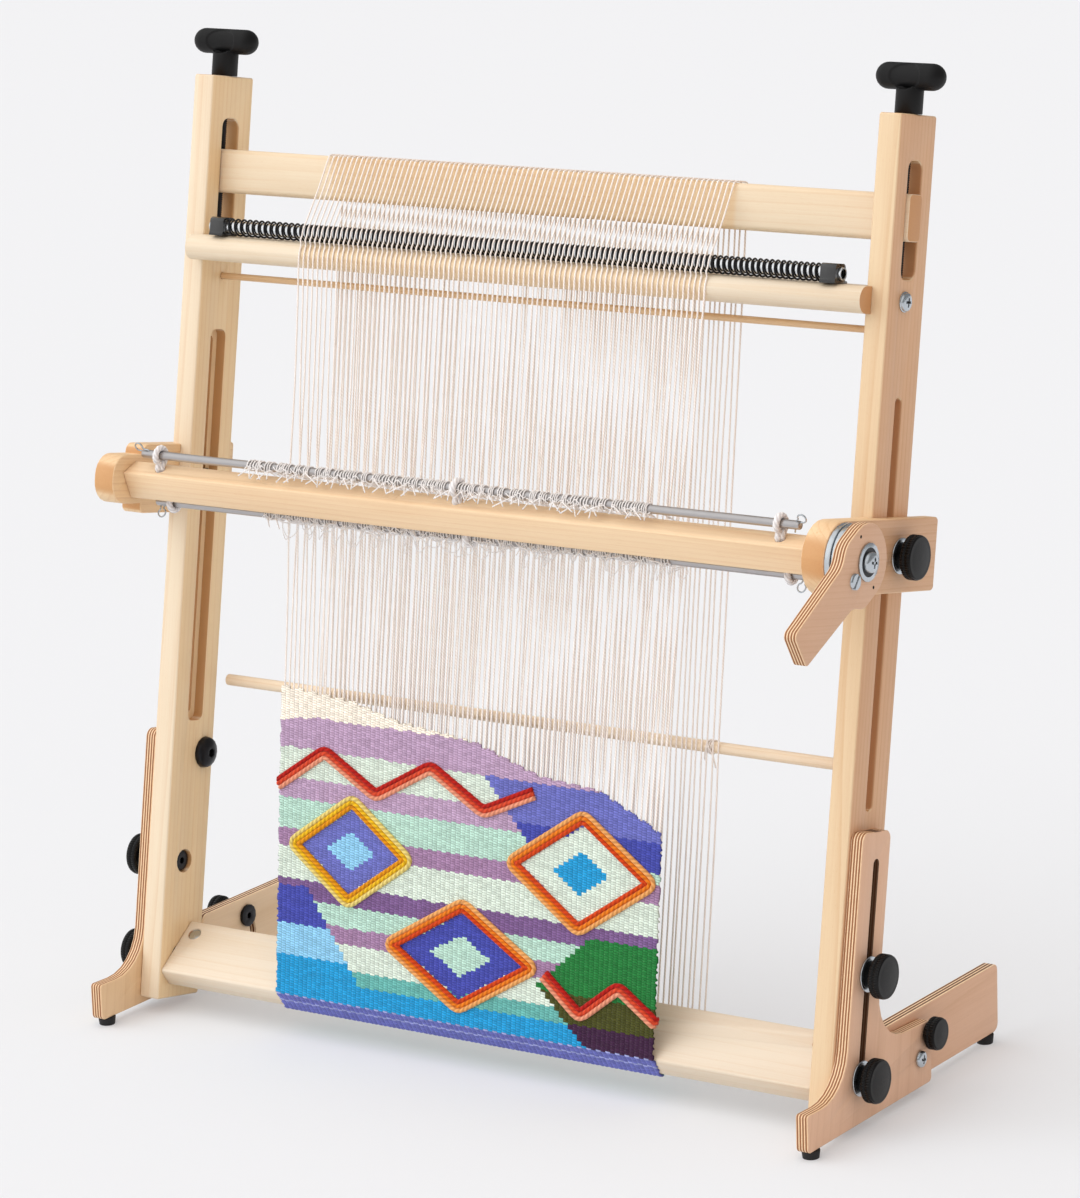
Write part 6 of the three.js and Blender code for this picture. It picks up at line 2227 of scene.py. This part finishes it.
@dataclass
class Shed(Assembly):
    """Heddle bar, its steel rods with their cord ties and clips, and the string heddles."""

    threads: Threads
    pivot_depth: float = PIVOT_DEPTH
    pivot_up: float = PIVOT_UP
    bar_turn: float = radians(30.2)
    bar_half: float = 13.85
    rod_radius: float = 3.95
    rod_half: float = 355.0
    rod_rise: float = 26.0
    rod_back: float = 6.0
    wound_radius: float = 4.55
    bunching: float = 0.985
    cord_radius: float = 2.9
    tie_places: tuple[float, float, float] = (-335.0, 0.0, 335.0)
    slack_room: float = 6.8
    spare_hole: float = -70.0
    spare_radius: float = 4.9

    def spot(self, x: float, across: float, rise: float) -> Vector:
        """A place in the turned bar's own axes.

        Args:
            x: place along the bar.
            across: towards the warp, square to the bar's face.
            rise: along the bar's height.

        Returns:
            The place in metres.
        """
        c, s = cos(self.bar_turn), sin(self.bar_turn)
        depth, up = self.pivot_depth + across * c - rise * s, self.pivot_up + across * s + rise * c
        return self.at(x, depth, up)

    def rod(self, side: int) -> Patch:
        """One steel rod with eased ends.

        Args:
            side: 1 for the upper rod, -1 for the lower.

        Returns:
            The rod.
        """
        half, r = self.rod_half, self.rod_radius
        line = [-half, -half + 0.6, *np.linspace(-half + 1.2, half - 1.2, 24), half - 0.6, half]
        radii = [r - 0.6, r - 0.15, *[r] * 24, r - 0.15, r - 0.6]
        points = [self.spot(x, self.rod_back, side * self.rod_rise) for x in line]
        return tube(points, [q * MM for q in radii], 24)

    def tie(self, x: float, side: int) -> Patch:
        """A thick braided cord that comes out of the bar, goes once round the rod and back in.

        Args:
            x: place along the bar.
            side: which rod.

        Returns:
            The cord.
        """
        r = self.rod_radius + self.cord_radius
        ring = []
        for k in range(25):
            angle = radians(-150 + 300 * k / 24)
            slip, rise = 2.6 * (k / 24 - 0.5), side * (self.rod_rise + r * cos(angle))
            ring.append(self.spot(x + slip, self.rod_back + r * sin(angle), rise))
        foot = side * (self.bar_half - 5.0)
        one = [self.spot(x - 0.8, -0.6, foot), self.spot(x - 1.2, -1.0, side * (self.bar_half + 2.0))]
        two = [self.spot(x + 1.2, 2.2, side * (self.bar_half + 2.0)), self.spot(x + 0.8, 1.2, foot)]
        line = eased_run([*one, *ring[::3], *two], 5)
        radii = [self.cord_radius * (1 + 0.05 * sin(k * 1.7)) * MM for k in range(len(line))]
        return tube(line, radii, 14)

    def clip(self, x: float, side: int, end: int) -> Patch:
        """A hairpin clip through the rod's end: a straight leg, a round loop and a waved leg.

        Args:
            x: place along the rod.
            side: which rod.
            end: which end of the rod, -1 or 1.

        Returns:
            The clip.
        """
        through = self.spot(x, self.rod_back, side * self.rod_rise)
        lean = (end * 0.75, -0.35, 0.55) if side > 0 else (end * -0.25, -0.30, -1.0)
        away = self.axes.along(*lean).normalized()
        wide = (Vector((1, 0, 0)) - away * away.x).normalized()
        middle = through + away * (self.rod_radius + 7.0) * MM

        def beside(out: float, over: float) -> Vector:
            """A place along the clip and to its side, from the rod's middle."""
            return through + (away * out + wide * over) * MM

        ring = []
        for k in range(15):
            angle = radians(-152 + 304 * k / 14)
            ring.append(middle + (away * cos(angle) + wide * sin(angle)) * 4.1 * MM)
        legs = [beside(-self.rod_radius - 4.0, -1.6), beside(0.0, -1.6), beside(self.rod_radius, -1.6)]
        waved = [beside(self.rod_radius + 1.0, 2.4), beside(1.0, 4.9)]
        waved += [beside(-3.2, 3.0), beside(-6.5, 4.6)]
        return tube(eased_run([*legs, *ring, *waved], 3), 0.75 * MM, 8)

    def by_rod(self, side: int, x: float, out: float, angle: float) -> Vector:
        """A place beside a rod, at a distance and an angle round it."""
        rise = side * self.rod_rise + out * cos(angle)
        return self.spot(x, self.rod_back + out * sin(angle), rise)

    def windings(self, patch: Patch, chance: random.Random, x: float, side: int) -> None:
        """Turns of string round the rod, and one strand laid along it.

        Args:
            patch: what they are added to.
            chance: source of their small differences.
            x: place along the rod.
            side: which rod.
        """
        turns = chance.uniform(2.6, 4.2)
        steps = int(turns * 12)
        start, spread = chance.uniform(0.8, 2.0), chance.uniform(6.4, 10.4)
        wind = []
        for k in range(steps + 1):
            angle = start + side * 2 * pi * turns * k / steps
            out = self.wound_radius + 0.7 * abs(sin(k * 0.9 + start * 3))
            wind.append(self.by_rod(side, x + spread * (k / steps - 0.5), out, angle))
        patch.take(tube(wind, 0.66 * MM, 5))
        lie, out = chance.uniform(-2.1, -1.0), self.rod_radius + 1.5
        laid = []
        for k in range(7):
            angle = lie + 0.35 * sin(k * 1.3 + start * 5)
            laid.append(self.by_rod(side, x + 13.0 * (k / 6 - 0.5), out, angle))
        patch.string(laid, 0.5, 3)

    def knot(self, patch: Patch, chance: random.Random, x: float, side: int) -> None:
        """The string's knot before the rod, and its cut ends.

        Args:
            patch: what it is added to.
            chance: source of its small differences.
            x: place along the rod.
            side: which rod.
        """
        rise, r = side * self.rod_rise, self.wound_radius
        knot_x, turn = x + chance.uniform(-1.5, 1.5), chance.uniform(-0.5, 0.35)
        depth = self.rod_back - r * cos(turn) - 0.5
        knot = self.spot(knot_x, depth, rise - side * r * sin(turn))
        blob = []
        for a in (k * 0.95 for k in range(14)):
            out = (1.3 * cos(a), 0.9 * sin(a * 1.7), 1.2 * sin(a))
            blob.append(knot + self.axes.along(*out) * MM)
        patch.string(blob, 0.55, 2)
        lean = chance.uniform(-0.6, 0.6)
        for way in (-1, 1):
            if chance.random() < (0.08 if side > 0 else 0.3):
                continue
            reach, swing = chance.uniform(6.5, 13.5), lean + way * chance.uniform(0.25, 0.85)
            drop = -0.72 if side > 0 else chance.uniform(-1.0, 0.1)
            ends = [
                knot,
                knot + self.axes.along(swing * 0.4, -0.5, drop * 0.4) * (reach * 0.4 * MM),
                knot + self.axes.along(swing, -0.55, drop) * (reach * MM),
            ]
            patch.string(ends, 0.6, 4)

    def heddle(self, patch: Patch, chance: random.Random, i: int, side: int) -> None:
        """One string heddle: turns round the rod, a knot, and a loop round its warp thread.

        Args:
            patch: what it is added to.
            chance: source of its small differences.
            i: its warp thread.
            side: which rod carries it.
        """
        x = self.threads.across(i) * self.bunching + chance.uniform(-2.4, 2.4)
        self.windings(patch, chance, x, side)
        self.knot(patch, chance, x, side)
        rise = side * self.rod_rise
        drop = -14.0 if side > 0 else -6.0
        c, s = cos(self.bar_turn), sin(self.bar_turn)
        rod_up = self.pivot_up + self.rod_back * s + rise * c
        warp_up = rod_up + drop + chance.uniform(-3.0, 3.0)
        warp_x = self.threads.at_cloth(i) + (self.threads.across(i) - self.threads.at_cloth(i)) * 0.55
        warp = self.threads.depth(warp_up)
        for shift in (-0.8, 0.8):
            sag = chance.uniform(1.0, 6.0)
            half_way = ((x + warp_x) / 2 + shift, (self.pivot_depth + warp) / 2 + 8)
            line = [
                self.spot(x + shift, self.rod_back + self.wound_radius * 0.95, rise),
                self.at(*half_way, (rod_up + warp_up) / 2 - sag),
                self.at(warp_x + shift * 1.1, warp - 1.4, warp_up),
                self.at(warp_x + shift * 0.2, warp + 1.2, warp_up + 0.4),
            ]
            patch.string(line, 0.5, 5)
        if side < 0:
            self.slack_loop(patch, chance, Vector((warp_x, warp, warp_up)))

    def slack_loop(self, patch: Patch, chance: random.Random, at: Vector) -> None:
        """Slack string of a lower heddle, that hangs in a tangled loop before its warp thread.

        Args:
            patch: what it is added to.
            chance: source of its small differences.
            at: the thread's x, depth and height there.
        """
        for _ in range(chance.choice((1, 1, 2))):
            low, wide = at.z - chance.uniform(3.0, 17.0), chance.uniform(-9.0, 9.0)
            begin = at.y - self.slack_room
            near = at.y - chance.uniform(10.0, 20.0)
            curl = chance.uniform(-5.0, 5.0)
            loop = [
                self.at(at.x, begin, at.z),
                self.at(at.x + wide * 0.5 + curl, (begin + near) / 2, (at.z + low) / 2 - 3),
                self.at(at.x + wide, near, low),
                self.at(at.x + wide * 1.5 - curl, near - 3, (at.z + low) / 2 + 3),
                self.at(at.x + wide * 1.1, near - 6, at.z + 4),
            ]
            patch.string(loop, 0.45, 5)

    def plug(self) -> Patch:
        """The wooden plug that closes the bar's spare cord hole, flush with both its edges.

        Returns:
            The plug.
        """
        half, r = self.bar_half - 0.05, self.spare_radius
        middle = self.spot(self.spare_hole, 0, 0)
        rise = self.spot(self.spare_hole, 0, 1) - middle
        turn = Vector((1, 0, 0)).rotation_difference(rise).to_matrix().to_4x4()
        plug = turned([(0.0, -half), (r, -half), (r, half), (0.0, half)], 24)
        return plug.moved(Matrix.Translation(middle) @ turn)

    def build(self) -> None:
        """Makes the rods, ties, clips and heddles."""
        timber = frame["nodes"]["heddle_bar"].data.materials[0]
        plug = self.plug().to_object("spare_hole_plug", timber, smooth=False)
        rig.ride(plug, "shed_bar")
        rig.slot(plug, "maple")
        for side, word in ((1, "upper"), (-1, "lower")):
            name, node = f"steel_rod_{word}", f"heddle_rod_{word}"
            fitted(self.rod(side), name, self.finishes.rod_steel, "shed_bar", "zinc_steel", node)
            ties = Patch()
            for x in self.tie_places:
                ties.take(self.tie(x, side))
            fitted(ties, f"cord_ties_{word}", self.finishes.cord, "shed_bar", "warp_yarn", node)
            clips = Patch()
            for end in (-1, 1):
                clips.take(self.clip(end * (self.rod_half - 5.5), side, end))
            fitted(clips, f"hairpin_clips_{word}", self.finishes.zinc, "shed_bar", "zinc_steel")
            strings = Patch()
            chance = random.Random(40 + side)
            for i in range(self.threads.count):
                if i % 2 == (0 if side > 0 else 1):
                    self.heddle(strings, chance, i, side)
            heddles = strings.to_object(f"string_heddles_{word}", self.finishes.string)
            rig.replaces(heddles, f"heddles_{word}")
            here = self.spot(0, self.rod_back + 8, side * self.rod_rise)
            there = self.at(0, self.threads.depth(self.pivot_up) - 6, self.pivot_up)
            start = Vector((0, there.y, here.z))
            end = Vector((0, here.y, here.z))
            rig.blend(heddles, "heddle_carriage", "shed_bar", start, end)
            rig.slot(heddles, "warp_yarn")
            log.info("tied the %s heddles", word)


@dataclass
class Lever(Assembly):
    """Small fastenings on the shed lever."""

    def build(self) -> None:
        """Adds the lever's screw with one straight slot, dark dots of painted shade for its two pilot holes, and the
        pivot's cross-headed bolt.
        """
        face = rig.box("shed_lever")[1].x
        fastener = Fastener(self.axes, self.finishes)
        axes, finishes, body = self.axes, self.finishes, "shed_bar"

        def on_lever(depth: float, up: float, x: float) -> Vector:
            """A place on the lever, set out from its pivot, at an x in metres."""
            place = axes.at(0, PIVOT_DEPTH + depth, PIVOT_UP + up)
            return Vector((x, place.y, place.z))

        middle = on_lever(0, 0, face + (0.3 + 1.5) * MM)
        ring = turned([(8.4, 0.06), (12.8, 0.06)], 48)
        fastener.fixed(ring, Side.RIGHT, middle, "shaft_shadow_ring", finishes.black_steel, body)
        # The bolt's recess holds a dark cross of painted shade.
        names = ("shaft_screw", "shaft_recess")
        fastener.crossed(names, (9.3, 5.6), (3.8, 0.9, 5.2), Side.RIGHT, middle, body)
        turn, stop = radians(60), (-21.5, -16.0)
        screw, slot = fastener.slotted_head(7.2, 3.0, turn), fastener.slot(6.6, 0.8, 2.2, turn)
        above = on_lever(*stop, face + 0.02 * MM)
        fastener.fixed(screw, Side.RIGHT, above, "lever_stop_screw", finishes.zinc, body)
        # The slot's dark bottom is painted shade.
        under, dark = on_lever(*stop, face), finishes.dark_hole
        fastener.fixed(slot, Side.RIGHT, under, "lever_stop_slot", dark, body)
        # Two dark dots of painted shade stand for the pilot holes.
        for name, place in (("dot_low", (13.0, -22.0)), ("dot_high", (-15.0, 22.0))):
            dot = turned([(1.5, 0.0), (1.5, 0.12), (0.0, 0.15)], 20)
            fastener.fixed(dot, Side.RIGHT, on_lever(*place, face), f"lever_{name}", dark, body)
        log.info("built the lever's screws")


@dataclass
class Studio:
    """Floor, soft light and the camera at the photograph's angle."""

    place: tuple[float, float, float] = (2.4139, -3.5843, 1.4624)
    azimuth: float = 33.744
    elevation: float = 13.498
    roll: float = -1.849
    focal_pixels: float = 4860.18
    picture_height: float = 1198.0
    fill: float = 0.42
    top_strength: float = 0.45
    fill_tint: tuple[float, float, float] = (1.0, 0.945, 0.90)
    box_strength: float = 1.80
    warm: tuple[float, float, float] = (0.26, 0.15, 0.09)
    sun: float = 0.15
    toward_key: tuple[float, float, float] = (-0.62, -0.58, 0.60)
    toward_warm: tuple[float, float, float] = (0.86, -0.42, 0.28)
    seen_white: float = 0.9

    def camera(self) -> None:
        """Makes the camera, with no shift."""
        a, e, r = (radians(v) for v in (self.azimuth, self.elevation, self.roll))
        ahead = Vector((-sin(a) * cos(e), cos(a) * cos(e), -sin(e)))
        right = ahead.cross(Vector((0, 0, 1))).normalized()
        up = right.cross(ahead)
        rolled = right * cos(r) + up * sin(r)
        upward = up * cos(r) - right * sin(r)
        data = bpy.data.cameras.new("studio_camera")
        data.sensor_fit = "AUTO"
        data.sensor_width = 36.0
        data.lens = self.focal_pixels / self.picture_height * 36.0
        data.clip_end = 100.0
        made = bpy.data.objects.new("studio_camera", data)
        bpy.context.scene.collection.objects.link(made)
        basis = Matrix((rolled, upward, -ahead)).transposed().to_4x4()
        made.matrix_world = Matrix.Translation(Vector(self.place)) @ basis
        bpy.context.scene.camera = made

    def light(self) -> None:
        """Makes a sky with one wide soft box at the front left, and a weak sun behind it."""
        toward = Vector(self.toward_key).normalized()
        world = bpy.data.worlds.new("studio_sky")
        bpy.context.scene.world = world
        world.use_nodes = True
        s = Sheet(world.node_tree)
        background = next(n for n in world.node_tree.nodes if n.type == "BACKGROUND")
        looking = s.node("ShaderNodeTexCoord").outputs["Generated"]
        facing = s.dot(looking, toward)
        lobe = s.math("POWER", s.math("MAXIMUM", facing, 0.0), 3.0)
        fill = tuple(self.fill * c for c in self.fill_tint)
        soft = s.vector("ADD", fill, s.thrice(s.times(lobe, self.box_strength)))
        warmth = s.math("MAXIMUM", s.dot(looking, Vector(self.toward_warm).normalized()), 0.0)
        soft = s.vector("ADD", soft, s.together(*[s.times(warmth, part) for part in self.warm]))
        overhead = s.math("POWER", s.math("MAXIMUM", s.parts(looking)[2], 0.0), 2.0)
        soft = s.vector("ADD", soft, s.thrice(s.times(overhead, self.top_strength)))
        sheen = s.smooth(facing, 0.25, 0.75, 0.30, 1.0)
        rays = s.node("ShaderNodeLightPath")
        straight = s.math("MAXIMUM", rays.outputs["Is Camera Ray"], rays.outputs["Is Transmission Ray"])
        colour = s.mix(rays.outputs["Is Glossy Ray"], soft, s.thrice(sheen))
        white = (self.seen_white, self.seen_white, self.seen_white * 1.01, 1.0)
        s.feed(background.inputs["Color"], s.mix(straight, colour, white))
        background.inputs["Strength"].default_value = 1.0
        lamp = bpy.data.lights.new("key_light", "SUN")
        lamp.energy = self.sun
        lamp.angle = radians(60)
        made = bpy.data.objects.new("key_light", lamp)
        made.rotation_mode = "QUATERNION"
        made.rotation_quaternion = toward.to_track_quat("Z", "Y")
        bpy.context.scene.collection.objects.link(made)

    def floor(self) -> None:
        """Lays the floor, which stays under the feet when the legs slide out."""
        reach = 60.0
        corners = [(x * reach, y * reach, 0) for x, y in ((-1, -1), (1, -1), (1, 1), (-1, 1))]
        patch = Patch(corners, [(0, 1, 2, 3)])
        floor = patch.to_object("studio_floor", Backdrop().material(), smooth=False)
        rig.stage(floor)
        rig.ride(floor, "leg_right")

    def build(self) -> None:
        """Sets the whole stage."""
        bpy.context.scene.view_settings.view_transform = "Standard"
        self.camera()
        self.light()
        self.floor()
        log.info("set the studio")


def write_sizes(before: tuple[Vector, Vector], after: tuple[Vector, Vector]) -> None:
    """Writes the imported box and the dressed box.

    Args:
        before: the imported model's box.
        after: the box with its looks.
    """
    sizes = {"cad": [list(p) for p in before], "visual": [list(p) for p in after]}
    with open("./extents.json", "w") as out:
        json.dump(sizes, out)


def main() -> None:
    """Builds the loom's looks, sub-assembly by sub-assembly."""
    logging.basicConfig(level=logging.INFO)
    cad_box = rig.bounds()
    axes = LoomAxes()
    finishes = Finishes()
    threads = Threads(axes, finishes)
    Studio().build()
    Woodwork().build()
    Tension(axes, finishes).build()
    SpringRail(axes, finishes).build()
    Hardware(axes, finishes).build()
    threads.build()
    Cloth(axes, finishes, threads).build()
    Shed(axes, finishes, threads).build()
    Lever(axes, finishes).build()
    write_sizes(cad_box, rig.bounds())


if __name__ == "__main__":
    main()
